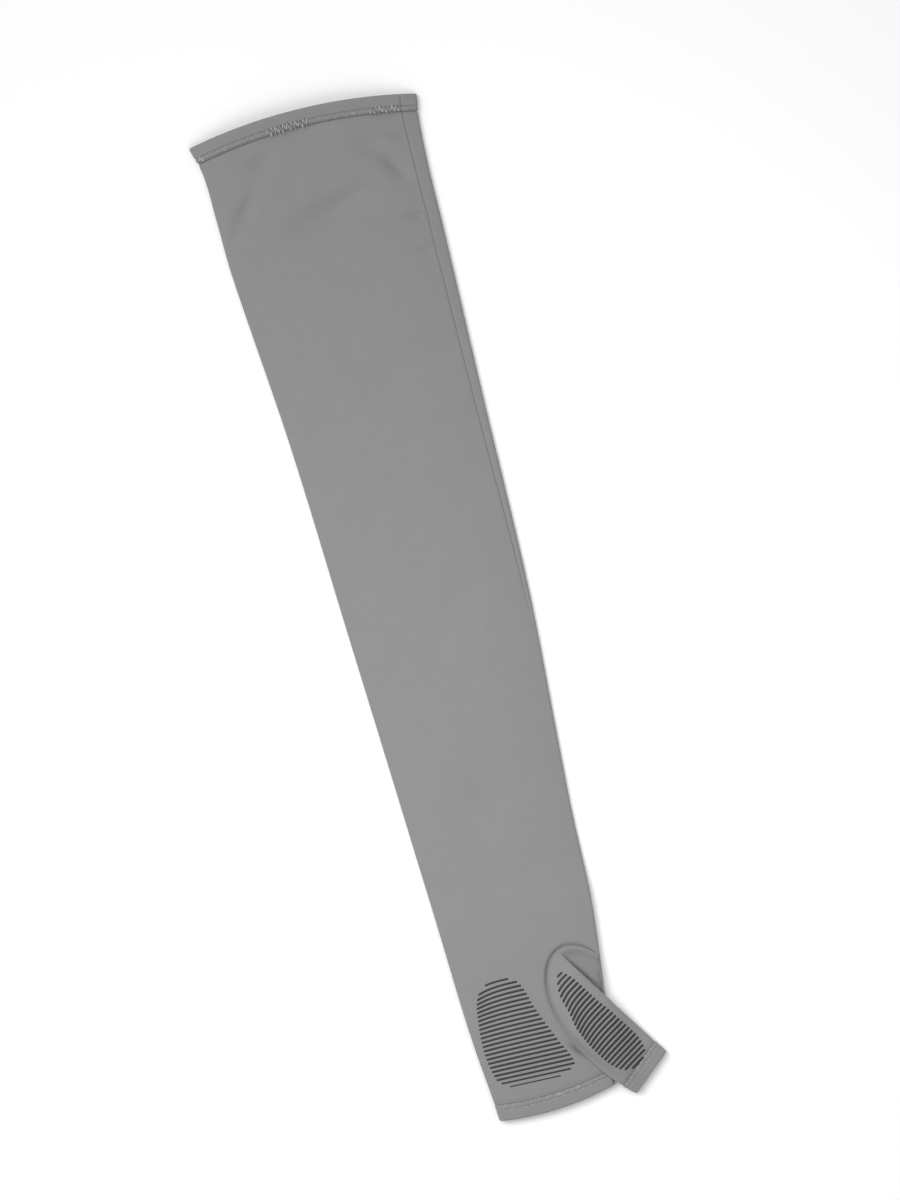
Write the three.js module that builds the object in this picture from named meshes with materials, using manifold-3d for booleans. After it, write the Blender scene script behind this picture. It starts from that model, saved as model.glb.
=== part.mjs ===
// Cooling arm sleeve for the left arm, with a sewn-in thumb and a hand cover, lying palm side up.
// Units are millimetres. +Y runs from the fingers to the upper arm, +X to the thumb, +Z up.
// The origin is on the surface that the sleeve lies on, below the middle of its box.

import * as THREE from "three";
import { mergeVertices } from "three/addons/utils/BufferGeometryUtils.js";
import Module from "manifold-3d";

const wasm = await Module();
wasm.setup();

// Cloth
const WALL = 1.0; // one layer of knit
const HEM_WALL = 1.6; // knit turned over on itself and stitched
const GAP = 0.3; // clearance between pieces that are sewn together
const FOLD_RADIUS = 1.1; // middle of the cloth where the flat tube turns over at its edges

// Sleeve along Y: where the hems, the back opening and its cover begin and end
const UPPER_END = 294.3;
const UPPER_HEM_DEPTH = 10;
const CUFF_END = -299.2;
const CUFF_HEM_DEPTH = 8.5;
const COVER_END = -189; // free edge of the hand cover, across the back of the wrist
const COVER_HEM_DEPTH = 14;
const BACK_END = -209; // the arm's back layer ends here, inside the hand cover
const BACK_LIFT = HEM_WALL + GAP; // the arm's back layer lies on the hand cover from here to the cuff
const LIFT_START = -160;
const SEAM_MARGIN = 5; // strip of back layer that the hand cover is sewn to, at each side

// The flat tube: one row for each section. Left and right are its outer edges, puff is how far the
// palm side arches over its edges, bow and skew say how the section's line curves and tilts.
const SECTIONS = [
  { at: -299.2, left: -36.0, right: 34.0, puff: 2.7, bow: -4.8, skew: -1.6 },
  { at: -284, left: -37.4, right: 36.4, puff: 2.6, bow: -4.5, skew: -1.4 },
  { at: -257, left: -39.3, right: 41.0, puff: 2.4, bow: -3.8, skew: -1.1 },
  { at: -231, left: -40.8, right: 44.4, puff: 2.4, bow: -3.0, skew: -0.8 },
  { at: -187, left: -42.4, right: 49.0, puff: 2.8, bow: -1.6, skew: -0.4 },
  { at: -90, left: -46.6, right: 53.1, puff: 4.6, bow: 0.8, skew: 0.3 },
  { at: -2, left: -50.5, right: 58.2, puff: 4.9, bow: 3.0, skew: 0.9 },
  { at: 112, left: -55.5, right: 61.3, puff: 4.9, bow: 6.0, skew: 1.7 },
  { at: 218, left: -63.7, right: 64.3, puff: 4.9, bow: 8.8, skew: 2.4 },
  { at: 278, left: -65.2, right: 65.6, puff: 4.9, bow: 10.4, skew: 2.8 },
  { at: 294.3, left: -69.3, right: 68.4, puff: 4.8, bow: 11.0, skew: 3.0 },
];

// Dents in the palm side: a row for each, deepest at x, y, with its half-lengths along and across,
// and the turn of its long side from +X in degrees.
const DENTS = [
  { x: 30, y: -246, depth: 1.1, along: 36, across: 20, turn: 80 },
  { x: 42, y: 262, depth: 0.9, along: 16, across: 8, turn: -48 },
  { x: -8, y: 222, depth: 0.6, along: 34, across: 13, turn: 22 },
  { x: -40, y: 205, depth: 0.6, along: 22, across: 9, turn: 62 },
  { x: 22, y: 108, depth: 0.5, along: 24, across: 11, turn: -6 },
  { x: 12, y: -6, depth: 0.4, along: 26, across: 13, turn: 40 },
  { x: 2, y: -118, depth: 0.5, along: 28, across: 12, turn: 62 },
  { x: -14, y: -186, depth: 0.6, along: 22, across: 12, turn: 12 },
];

// Thumb: a cone of knit sewn into an oval armhole, collapsed and laid over towards its tip
const ARMHOLE = { x: 25.5, y: -242, long: 33, short: 15, turn: 8.7 };
const THUMB_TIP = { x: 57.2, y: -295.4, width: 31.5, turn: 40 };
const THUMB_CREASES = { upper: 124, lower: 248 }; // degrees round the armhole where the cone is creased
const THUMB_BELLY = 3; // how far its lower crease bows out
const THUMB_RISE = 5.4; // between its two layers
const THUMB_RISE_AT = 0.13; // share of its length over which the cone rises from the seam
const THUMB_SEWN = -0.05; // where the sewn edge begins, below the armhole's rim
const THUMB_HEM_AT = 0.89;
const THUMB_DROOP = 20; // how far past the sleeve's edge it comes down to the surface
const THUMB_SQUARE = 0.6; // power of its section: 1 is an ellipse, less is squarer

// Printed grips: stripes of soft rubber
const STRIPE_WIDTH = 1.3;
const STRIPE_HEIGHT = 0.4;
const PALM_STRIPES = 24;
const PALM_STRIPE_TURN = -2; // degrees from +X
const THUMB_STRIPES = 27;
const THUMB_STRIPE_TURN = 29.5;

// Outline of the palm grip: the ends of a stripe, by its place along Y, and how far its left end
// comes down with the cloth.
const PALM_GRIP = [
  { at: -283.4, left: -25.0, right: 5.6, droop: 0 },
  { at: -280.6, left: -29.4, right: 12.6, droop: 0 },
  { at: -277, left: -32.0, right: 15.5, droop: 0.2 },
  { at: -261, left: -34.6, right: 8.8, droop: 0.8 },
  { at: -242.5, left: -33.8, right: 1.4, droop: 1.7 },
  { at: -224.5, left: -30.2, right: -4.6, droop: 3.2 },
  { at: -221, left: -24.4, right: -10.0, droop: 2.0 },
];

// Outline of the thumb grip: the ends of a stripe, from the armhole's middle along the stripe, by its
// place from there towards the thumb's tip, and how far its low end runs on with the cloth.
const THUMB_GRIP = [
  { at: -14.8, low: 0.4, high: 3.4, droop: 0.2 },
  { at: -11.6, low: -4.1, high: 5.1, droop: 0.6 },
  { at: -4.6, low: -7.2, high: 6.4, droop: 1.0 },
  { at: 11.4, low: -12.1, high: 7.1, droop: 1.6 },
  { at: 26.4, low: -14.3, high: 8.8, droop: 1.2 },
  { at: 40.4, low: -14.1, high: 9.9, droop: 0.6 },
  { at: 48.4, low: -12.3, high: 9.3, droop: 0.3 },
  { at: 51.5, low: -9.7, high: 6.4, droop: 0 },
  { at: 53.8, low: -6.5, high: 1.4, droop: 0 },
];

// Steps of the facets
const PALM_STEPS = 18;
const BACK_STEPS = 8;
const FOLD_STEPS = 5;
const SLEEVE_STEP = 17;
const HEM_RINGS = 3;
const THUMB_STEPS = 15; // for each of its two layers
const THUMB_RINGS = [0, 0.04, 0.08, 0.13, 0.2, 0.28, 0.36, 0.44, 0.52, 0.6, 0.68, 0.75, 0.82];
const THUMB_HEM_RINGS = [0.93, 0.965, 1];
const STRIPE_STEPS = 4;
const ARMHOLE_STEPS = 36;
const SLOPE_STEP = 1e-3; // for slopes of the thumb's surface
const PLACE_ROUNDS = 30; // for finding a place on the thumb

const KNIT = new THREE.MeshStandardMaterial({ color: 0x8f8f8f, roughness: 0.85, metalness: 0 });
const RUBBER = new THREE.MeshStandardMaterial({ color: 0x4a4a4c, roughness: 0.6, metalness: 0 });

const lerp = THREE.MathUtils.lerp;
const radians = THREE.MathUtils.degToRad;
const smooth = (share) => THREE.MathUtils.smoothstep(share, 0, 1);

// A smooth curve through one column of a table, by its rows' places.
function columnCurve(table, column) {
  const slope = table.map((row, i) => {
    const before = table[Math.max(i - 1, 0)];
    const after = table[Math.min(i + 1, table.length - 1)];
    return (after[column] - before[column]) / (after.at - before.at);
  });
  return (at) => {
    let i = table.findIndex((row) => row.at > at) - 1;
    if (i < 0) i = at < table[0].at ? 0 : table.length - 2;
    const [low, high] = [table[i], table[i + 1]];
    const span = high.at - low.at;
    const t = THREE.MathUtils.clamp((at - low.at) / span, 0, 1);
    const rise = 3 * t * t - 2 * t * t * t;
    return (
      lerp(low[column], high[column], rise) +
      span * (slope[i] * t * (1 - t) * (1 - t) - slope[i + 1] * t * t * (1 - t))
    );
  };
}

const leftEdge = columnCurve(SECTIONS, "left");
const rightEdge = columnCurve(SECTIONS, "right");
const puffAt = columnCurve(SECTIONS, "puff");
const bowAt = columnCurve(SECTIONS, "bow");
const skewAt = columnCurve(SECTIONS, "skew");

// How far the dents lower the palm side at x, y.
function dentAt(x, y) {
  return DENTS.reduce((sum, dent) => {
    const turn = radians(dent.turn);
    const [dx, dy] = [x - dent.x, y - dent.y];
    const along = (dx * Math.cos(turn) + dy * Math.sin(turn)) / dent.along;
    const across = (dy * Math.cos(turn) - dx * Math.sin(turn)) / dent.across;
    return sum + dent.depth * Math.exp(-along * along - across * across);
  }, 0);
}

// Underside of the sleeve's back layer: on the surface, or on the hand cover below the wrist.
const backLift = (at) => BACK_LIFT * smooth((LIFT_START - at) / (LIFT_START - COVER_END));

// The section's middle, the half-width of its flat stretch and its height between the folds.
function sectionAt(at, wall, lift, fold) {
  const half = (rightEdge(at) - leftEdge(at)) / 2 - WALL / 2 - fold;
  return { middle: (leftEdge(at) + rightEdge(at)) / 2, half, floor: lift + wall / 2, fold };
}

// Y of a section's line at x.
function lineAt(at, x) {
  const half = (rightEdge(at) - leftEdge(at)) / 2;
  const share = THREE.MathUtils.clamp((x - (leftEdge(at) + rightEdge(at)) / 2) / half, -1, 1);
  return at + bowAt(at) * (1 - share * share) - skewAt(at) * share;
}

// Middle of the palm side's cloth at a share of the half-width from the section's middle.
function palmPoint(section, at, share) {
  const x = section.middle + section.half * share;
  const y = lineAt(at, x);
  const arch = puffAt(at) * (1 - share * share) - dentAt(x, y) * (1 - share ** 4);
  return new THREE.Vector3(x, y, section.floor + 2 * section.fold + arch);
}

// One closed line round the flat tube, moved out from the middle of its cloth by an offset.
function sleeveLoop(at, wall, lift, fold, offset) {
  const section = sectionAt(at, wall, lift, fold);
  const points = [];
  for (let i = 0; i <= PALM_STEPS; i++) {
    const point = palmPoint(section, at, 1 - (2 * i) / PALM_STEPS);
    point.z += offset;
    points.push(point);
  }
  const turnOver = (side, from) => {
    for (let i = 1; i < FOLD_STEPS; i++) {
      const angle = from + Math.PI * (i / FOLD_STEPS);
      const x = section.middle + side * section.half - Math.sin(angle) * (fold + offset);
      const z = section.floor + fold + Math.cos(angle) * (fold + offset);
      points.push(new THREE.Vector3(x, lineAt(at, x), z));
    }
  };
  turnOver(-1, 0);
  for (let i = 0; i <= BACK_STEPS; i++) {
    const x = section.middle + section.half * ((2 * i) / BACK_STEPS - 1);
    points.push(new THREE.Vector3(x, lineAt(at, x), section.floor - offset));
  }
  turnOver(1, Math.PI);
  return points;
}

// A closed wall between two sets of rings, outer and inner, that follow each other to the fingers.
function wallGeometry(outer, inner) {
  const count = outer[0].length;
  const positions = [...outer, ...inner].flat().flatMap((point) => point.toArray());
  const index = [];
  const vertex = (set, ring, i) => (set * outer.length + ring) * count + (i % count);
  const quad = (a, b, c, d) => index.push(a, b, c, a, c, d);
  const last = outer.length - 1;
  for (let i = 0; i < count; i++) {
    for (let ring = 0; ring < last; ring++) {
      quad(vertex(0, ring, i), vertex(0, ring, i + 1), vertex(0, ring + 1, i + 1), vertex(0, ring + 1, i));
      quad(vertex(1, ring, i + 1), vertex(1, ring, i), vertex(1, ring + 1, i), vertex(1, ring + 1, i + 1));
    }
    quad(vertex(0, 0, i + 1), vertex(0, 0, i), vertex(1, 0, i), vertex(1, 0, i + 1));
    quad(vertex(0, last, i), vertex(0, last, i + 1), vertex(1, last, i + 1), vertex(1, last, i));
  }
  const geometry = new THREE.BufferGeometry();
  geometry.setAttribute("position", new THREE.Float32BufferAttribute(positions, 3));
  geometry.setIndex(index);
  return geometry;
}

// A geometry as a solid for cutting, turned the right way out, and a solid as a geometry.
function solidOf(geometry) {
  const bare = new THREE.BufferGeometry();
  bare.setAttribute("position", geometry.getAttribute("position"));
  bare.setIndex(geometry.getIndex());
  const merged = mergeVertices(bare, 1e-4);
  return new wasm.Manifold(
    new wasm.Mesh({
      numProp: 3,
      vertProperties: new Float32Array(merged.getAttribute("position").array),
      triVerts: new Uint32Array(merged.getIndex().array),
    }),
  );
}

function geometryOf(solid) {
  const mesh = solid.getMesh();
  const geometry = new THREE.BufferGeometry();
  geometry.setAttribute("position", new THREE.Float32BufferAttribute(mesh.vertProperties, 3));
  geometry.setIndex([...mesh.triVerts]);
  return geometry;
}

// A flat outline raised between two heights.
function slabGeometry(outline, bottom, top) {
  const geometry = new THREE.ExtrudeGeometry(new THREE.Shape(outline), {
    depth: top - bottom,
    bevelEnabled: false,
  });
  return geometry.translate(0, 0, bottom);
}

// Outline of a stretch of the back between two places, drawn in from the sleeve's edges by an inset.
function backOutline(from, to, inset) {
  const steps = BACK_STEPS;
  const point = (at, share) => {
    const x = lerp(leftEdge(at) + inset, rightEdge(at) - inset, (share + 1) / 2);
    return new THREE.Vector2(x, lineAt(at, x));
  };
  const outline = [];
  for (let i = 0; i <= steps; i++) outline.push(point(from, -1 + (2 * i) / steps));
  for (let i = 1; i < steps; i++) outline.push(point(lerp(from, to, i / steps), 1));
  for (let i = 0; i <= steps; i++) outline.push(point(to, 1 - (2 * i) / steps));
  for (let i = 1; i < steps; i++) outline.push(point(lerp(to, from, i / steps), -1));
  return outline;
}

// A point on the armhole's oval, grown by an amount.
function armholePoint(angle, grow = 0) {
  const turn = radians(ARMHOLE.turn);
  const short = (ARMHOLE.short + grow) * Math.cos(angle);
  const long = (ARMHOLE.long + grow) * Math.sin(angle);
  return new THREE.Vector2(
    ARMHOLE.x + short * Math.cos(turn) + long * Math.sin(turn),
    ARMHOLE.y + long * Math.cos(turn) - short * Math.sin(turn),
  );
}

// The sleeve's own piece: arm and palm in one, open at both ends, with the thumb's armhole and the
// back cut away inside the hand cover.
function sleeveTube() {
  const from = CUFF_END + CUFF_HEM_DEPTH + GAP;
  const to = UPPER_END - UPPER_HEM_DEPTH - GAP;
  const steps = Math.round((to - from) / SLEEVE_STEP);
  const places = Array.from({ length: steps + 1 }, (_, i) => lerp(to, from, i / steps));
  const rings = (offset) => places.map((at) => sleeveLoop(at, WALL, backLift(at), FOLD_RADIUS, offset));
  const tube = solidOf(wallGeometry(rings(WALL / 2), rings(-WALL / 2)));

  const middle = BACK_LIFT + WALL / 2 + FOLD_RADIUS;
  const backWindow = backOutline(CUFF_END - CUFF_HEM_DEPTH, BACK_END, SEAM_MARGIN);
  const armhole = Array.from({ length: ARMHOLE_STEPS }, (_, i) =>
    armholePoint((2 * Math.PI * i) / ARMHOLE_STEPS, WALL / 2 + GAP),
  );
  return geometryOf(
    tube
      .subtract(solidOf(slabGeometry(backWindow, -WALL, middle)))
      .subtract(solidOf(slabGeometry(armhole, middle, middle + 4 * THUMB_RISE))),
  );
}

// A hem that goes right round the sleeve between two places.
function sleeveHem(from, to, fold) {
  const places = Array.from({ length: HEM_RINGS + 1 }, (_, i) => lerp(to, from, i / HEM_RINGS));
  const rings = (offset) => places.map((at) => sleeveLoop(at, HEM_WALL, 0, fold, offset));
  return wallGeometry(rings(HEM_WALL / 2), rings(-HEM_WALL / 2));
}

// Top of what the thumb lies on: the palm, then down past its edge to the surface.
function restHeight(x, y) {
  const at = THREE.MathUtils.clamp(y - bowAt(y), CUFF_END, UPPER_END);
  const section = sectionAt(at, WALL, backLift(at), FOLD_RADIUS);
  const share = THREE.MathUtils.clamp((x - section.middle) / section.half, -1, 1);
  const palm = palmPoint(section, at, share).z + WALL / 2;
  const past = Math.max(x - section.middle - section.half, lineAt(CUFF_END, x) - y, 0);
  return palm * (1 - smooth(past / THUMB_DROOP));
}

// Where a turn round the thumb starts on the armhole. The turn runs over the upper layer from the
// upper crease to the lower one, and back along the lower layer.
function armholeAngle(turn) {
  const { upper, lower } = THUMB_CREASES;
  const share = turn / Math.PI;
  if (share <= 1) return radians(lerp(upper, lower, share));
  return radians(lerp(lower, upper + 360, smooth(share - 1)));
}

// Middle of the thumb's cloth: along runs from the armhole's rim, 0, to the tip, 1.
function thumbPoint(along, turn) {
  const seam = armholePoint(armholeAngle(turn));
  const rim = restHeight(seam.x, seam.y);
  const lift = GAP + WALL / 2;
  if (along < 0) return new THREE.Vector3(seam.x, seam.y, lerp(rim + lift, rim - WALL, along / THUMB_SEWN));
  const belly = THUMB_BELLY * 4 * along * (1 - along) * ((1 - Math.cos(turn)) / 2);
  const across = (Math.cos(turn) * (THUMB_TIP.width - WALL)) / 2;
  const tipTurn = radians(THUMB_TIP.turn);
  const x = lerp(seam.x, THUMB_TIP.x + across * Math.cos(tipTurn), along) - belly * Math.cos(tipTurn);
  const y = lerp(seam.y, THUMB_TIP.y + across * Math.sin(tipTurn), along) - belly * Math.sin(tipTurn);
  const layer = Math.sign(Math.sin(turn)) * Math.abs(Math.sin(turn)) ** THUMB_SQUARE;
  const rise = THUMB_RISE * smooth(along / THUMB_RISE_AT) * ((layer + 1) / 2);
  return new THREE.Vector3(x, y, restHeight(x, y) + lift + rise);
}

// Way out from the thumb's cloth at a point of it.
function thumbNormal(along, turn) {
  const alongStep = thumbPoint(along + SLOPE_STEP, turn).sub(thumbPoint(along, turn));
  const turnStep = thumbPoint(along, turn + SLOPE_STEP).sub(thumbPoint(along, turn - SLOPE_STEP));
  return turnStep.cross(alongStep).normalize();
}

function thumbRings(places, offset) {
  return places.map((along) =>
    Array.from({ length: 2 * THUMB_STEPS }, (_, i) => {
      const turn = (Math.PI * i) / THUMB_STEPS;
      return thumbPoint(along, turn).addScaledVector(thumbNormal(along, turn), offset);
    }),
  );
}

function thumbTube() {
  const places = [THUMB_SEWN, ...THUMB_RINGS, THUMB_HEM_AT];
  return wallGeometry(thumbRings(places, WALL / 2), thumbRings(places, -WALL / 2));
}

function thumbHem() {
  const gap = GAP / Math.hypot(THUMB_TIP.x - ARMHOLE.x, THUMB_TIP.y - ARMHOLE.y);
  const places = [THUMB_HEM_AT + gap, ...THUMB_HEM_RINGS];
  return wallGeometry(thumbRings(places, HEM_WALL / 2), thumbRings(places, -HEM_WALL / 2));
}

// A thin bar along a row of points on the cloth, standing out from it along its normals.
function stripeGeometry(points, normals) {
  const corners = [
    [-0.5, 0],
    [0.5, 0],
    [0.5, 1],
    [-0.5, 1],
  ];
  const positions = points.flatMap((point, i) => {
    const before = points[Math.max(i - 1, 0)];
    const after = points[Math.min(i + 1, points.length - 1)];
    const side = new THREE.Vector3().subVectors(after, before).cross(normals[i]).normalize();
    return corners.flatMap(([across, up]) =>
      point
        .clone()
        .addScaledVector(side, across * STRIPE_WIDTH)
        .addScaledVector(normals[i], up * STRIPE_HEIGHT)
        .toArray(),
    );
  });
  const index = [];
  const quad = (a, b, c, d) => index.push(a, b, c, a, c, d);
  const end = 4 * (points.length - 1);
  for (let ring = 0; ring < end; ring += 4)
    for (let i = 0; i < 4; i++) {
      const next = (i + 1) % 4;
      quad(ring + next, ring + i, ring + 4 + i, ring + 4 + next);
    }
  quad(0, 1, 2, 3);
  quad(end + 3, end + 2, end + 1, end);
  const geometry = new THREE.BufferGeometry();
  geometry.setAttribute("position", new THREE.Float32BufferAttribute(positions, 3));
  geometry.setIndex(index);
  return geometry;
}

// The ends and the droop of a stripe, read from its grip's outline.
function stripeRow(outline, at) {
  const columns = Object.keys(outline[0]).filter((column) => column !== "at");
  return columns.map((column) => columnCurve(outline, column)(at));
}

function palmStripe(at) {
  const [left, right, droop] = stripeRow(PALM_GRIP, at);
  const points = Array.from({ length: STRIPE_STEPS + 1 }, (_, i) => {
    const share = i / STRIPE_STEPS;
    const x = lerp(left, right, share);
    const y = at + (x - (left + right) / 2) * Math.tan(radians(PALM_STRIPE_TURN)) - droop * (1 - share) ** 3;
    return new THREE.Vector3(x, y, restHeight(x, y) + GAP);
  });
  return stripeGeometry(points, points.map(() => new THREE.Vector3(0, 0, 1)));
}

// Place on the thumb's upper layer, as along and turn, that lies at x, y seen from above. It is found
// by Newton's method, kept between the seam and the tip and between the creases.
function thumbPlace(x, y) {
  const nearSeam = 0.02;
  const nearCrease = 0.1;
  let [along, turn] = [0.5, Math.PI / 2];
  for (let round = 0; round < PLACE_ROUNDS; round++) {
    const here = thumbPoint(along, turn);
    const byAlong = thumbPoint(along + SLOPE_STEP, turn).sub(here).divideScalar(SLOPE_STEP);
    const byTurn = thumbPoint(along, turn + SLOPE_STEP).sub(here).divideScalar(SLOPE_STEP);
    const area = byAlong.x * byTurn.y - byAlong.y * byTurn.x;
    const [dx, dy] = [x - here.x, y - here.y];
    const nextAlong = along + (dx * byTurn.y - dy * byTurn.x) / area;
    const nextTurn = turn + (dy * byAlong.x - dx * byAlong.y) / area;
    along = THREE.MathUtils.clamp(nextAlong, nearSeam, 1);
    turn = THREE.MathUtils.clamp(nextTurn, nearCrease, Math.PI - nearCrease);
  }
  return [along, turn];
}

function thumbStripe(at) {
  const [low, high, droop] = stripeRow(THUMB_GRIP, at);
  const turn = radians(THUMB_STRIPE_TURN);
  const places = Array.from({ length: STRIPE_STEPS + 1 }, (_, i) => {
    const share = i / STRIPE_STEPS;
    const across = lerp(low, high, share);
    const along = at + droop * (1 - share) ** 3;
    return thumbPlace(
      ARMHOLE.x + across * Math.cos(turn) + along * Math.sin(turn),
      ARMHOLE.y + across * Math.sin(turn) - along * Math.cos(turn),
    );
  });
  const normals = places.map((place) => thumbNormal(...place));
  const points = places.map((place, i) => thumbPoint(...place).addScaledVector(normals[i], WALL / 2 + GAP));
  return stripeGeometry(points, normals);
}

const sleeve = new THREE.Group();

function addPiece(name, geometry, material) {
  const mesh = new THREE.Mesh(geometry, material);
  mesh.name = name;
  sleeve.add(mesh);
}

function addStripes(name, count, outline, stripeAt) {
  const [first, last] = [outline[0].at, outline[outline.length - 1].at];
  for (let i = 0; i < count; i++) {
    const number = String(i + 1).padStart(2, "0");
    addPiece(`${name}_${number}`, stripeAt(lerp(first, last, i / (count - 1))), RUBBER);
  }
}

const edgeHeight = BACK_LIFT + 2 * FOLD_RADIUS + WALL; // of the palm's folded edges, over the cover
const coverHemStart = COVER_END - COVER_HEM_DEPTH;
addPiece("sleeve_tube", sleeveTube(), KNIT);
addPiece("upper_hem", sleeveHem(UPPER_END - UPPER_HEM_DEPTH, UPPER_END, FOLD_RADIUS), KNIT);
addPiece("cuff_hem", sleeveHem(CUFF_END, CUFF_END + CUFF_HEM_DEPTH, (edgeHeight - HEM_WALL) / 2), KNIT);
addPiece(
  "hand_cover",
  slabGeometry(backOutline(CUFF_END + CUFF_HEM_DEPTH + GAP, coverHemStart - GAP, 0), 0, WALL),
  KNIT,
);
addPiece(
  "hand_cover_hem",
  slabGeometry(backOutline(coverHemStart, COVER_END, 0), 0, HEM_WALL),
  KNIT,
);
addPiece("thumb_tube", thumbTube(), KNIT);
addPiece("thumb_hem", thumbHem(), KNIT);
addStripes("palm_grip", PALM_STRIPES, PALM_GRIP, palmStripe);
addStripes("thumb_grip", THUMB_STRIPES, THUMB_GRIP, thumbStripe);

export default sleeve;
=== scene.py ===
"""Cooling arm sleeve with a sewn-in thumb and a hand cover, lying palm side up, dressed round its frame."""

import math
from collections import namedtuple

import bmesh
import bpy
import numpy as np
from bpy.props import FloatProperty, FloatVectorProperty, IntProperty, PointerProperty
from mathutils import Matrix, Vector


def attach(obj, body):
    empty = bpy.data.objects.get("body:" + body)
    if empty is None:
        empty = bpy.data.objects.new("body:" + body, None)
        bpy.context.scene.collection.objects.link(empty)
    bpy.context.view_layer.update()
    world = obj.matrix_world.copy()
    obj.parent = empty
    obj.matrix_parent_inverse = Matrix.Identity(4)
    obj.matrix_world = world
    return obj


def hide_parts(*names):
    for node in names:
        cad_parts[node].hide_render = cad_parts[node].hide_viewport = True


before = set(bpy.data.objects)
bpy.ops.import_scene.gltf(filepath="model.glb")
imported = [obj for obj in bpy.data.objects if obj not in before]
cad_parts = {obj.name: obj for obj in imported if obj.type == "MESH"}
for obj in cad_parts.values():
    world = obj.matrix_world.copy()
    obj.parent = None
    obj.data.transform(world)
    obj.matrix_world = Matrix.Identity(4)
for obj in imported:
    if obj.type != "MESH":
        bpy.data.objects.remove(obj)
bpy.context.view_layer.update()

bl_info = {
    "name": "Cooling arm sleeve",
    "version": (1, 0, 0),
    "blender": (4, 5, 0),
    "location": "3D View > Sidebar > Arm Sleeve",
    "description": "Builds a knitted arm sleeve with a thumb, a hand cover and printed grips",
    "category": "Add Mesh",
}

MM = 0.001
BODY = "root"

# Lengths below are in millimetres, as in the part's source, and turn to metres when a mesh is made.

# Cloth
WALL = 1.0  # one layer of knit
HEM_WALL = 1.6  # knit turned over on itself and stitched
FOLD_RADIUS = 1.1  # middle of the cloth where the flat tube turns over at its edges
SEAM_GAP = 0.06  # between pieces that are sewn edge to edge

# Sleeve along Y: where the hems, the back opening and its cover begin and end
UPPER_END = 295.6
UPPER_HEM_DEPTH = 10.0
UPPER_HEM_FLARE = 1.7  # how far the palm side of the upper hem turns up towards its edge
CUFF_END = -299.2
CUFF_HEM_DEPTH = 9.6
COVER_END = -189.0
COVER_HEM_DEPTH = 14.0
COVER_CURL = 4.0  # how far from its sewn sides the cover begins to curl up
BACK_END = -209.0
BACK_LIFT = 1.9  # the arm's back layer lies on the hand cover from here to the cuff
LIFT_START = -160.0
SEAM_MARGIN = 5.0


def table(columns, *rows):
    """Rows of numbers as arrays, by the names of their columns."""
    return dict(zip(columns.split(), np.array(rows, float).T))


# The flat tube: one row for each section. Left and right are its outer edges, puff is how far the
# palm side arches over its edges, bow and skew say how the section's line curves and tilts.
SECTIONS = table(
    "at left right puff bow skew",
    (-299.6, -35.4, 34.6, 0.7, -3.5, -2.0),
    (-284, -36.7, 36.6, 1.7, -3.4, -1.8),
    (-257, -39.2, 41.0, 2.4, -3.1, -1.3),
    (-231, -40.8, 44.4, 2.4, -3.0, -0.8),
    (-187, -42.4, 49.0, 2.8, -1.6, -0.4),
    (-135, -44.7, 50.8, 3.6, -0.5, -0.1),
    (-90, -46.6, 53.6, 4.2, 0.6, 0.2),
    (-2, -50.5, 59.0, 4.2, 2.3, 0.4),
    (112, -55.5, 61.3, 4.2, 4.5, 0.7),
    (218, -63.5, 63.7, 4.2, 6.2, 0.9),
    (250, -64.2, 64.1, 4.2, 6.5, 0.9),
    (278, -65.0, 65.5, 4.2, 6.8, 0.9),
    (295.6, -69.0, 67.8, 4.2, 6.9, 1.0),
)
ARCH_POWER = 2.6  # how flat the palm side lies between its folds

# Dents and creases in the palm side: a row for each, deepest at x, y, with its half-lengths along and
# across, and the turn of its long side from +X in degrees.
DENT_COLUMNS = "x y depth along across turn"
DENTS = table(
    DENT_COLUMNS,
    (30, -246, 1.1, 36, 20, 80),
    (34, 272, 2.0, 9, 6, -25),
    (46.5, 256, 4.0, 11, 5, -55),
    (1, 239, 4.1, 26, 8.5, 15),
    (-31, 277, 2.2, 9, 6, 10),
    (-49, 249.5, 3.6, 15, 4.5, 50),
    (7, 141, 2.0, 17, 5, -15),
    (12, -6, 0.8, 26, 13, 40),
    (2, -118, 1.0, 28, 12, 62),
    (-14, -188, 1.0, 22, 12, 12),
    (51, 272, 2.3, 6, 1.8, -14),
    (51, 225, 3.0, 7, 1.9, -12),
    (51, 204, 2.2, 5, 1.8, -14),
    (-10.5, 290.3, 1.2, 13, 2.2, 3),
    (48.5, 286.6, 1.5, 9, 2.2, -9),
)

# A short, sharp fold in the palm where the thumb's cloth lies against it
THUMB_FOLD = table(DENT_COLUMNS, (19.3, -272.4, 2.6, 6.5, 1.2, -51))

# The side seam on the palm side: how far it lies inside the right edge
SIDE_SEAM = table(
    "at inset",
    (-110, -1.5),
    (-60, 1.0),
    (-20, 2.2),
    (90, 4.6),
    (200, 6.8),
    (250, 7.3),
    (294.3, 9.2),
)
SIDE_SEAM_DEPTH = 0.6
SIDE_SEAM_WIDTH = 0.55
SIDE_SEAM_EASE = 1.5  # it runs out over this distance from the fold
SIDE_SEAM_REACH = 1.6  # columns of the mesh lie close together this far on both sides of the seam
SIDE_SEAM_CLEAR = 0.4  # and stay this far from the fold

# Soft waves of cloth that lies loose
RIPPLE_SEED = 11
RIPPLE_COUNT = 14
RIPPLE_LENGTHS = (22.0, 75.0)

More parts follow.
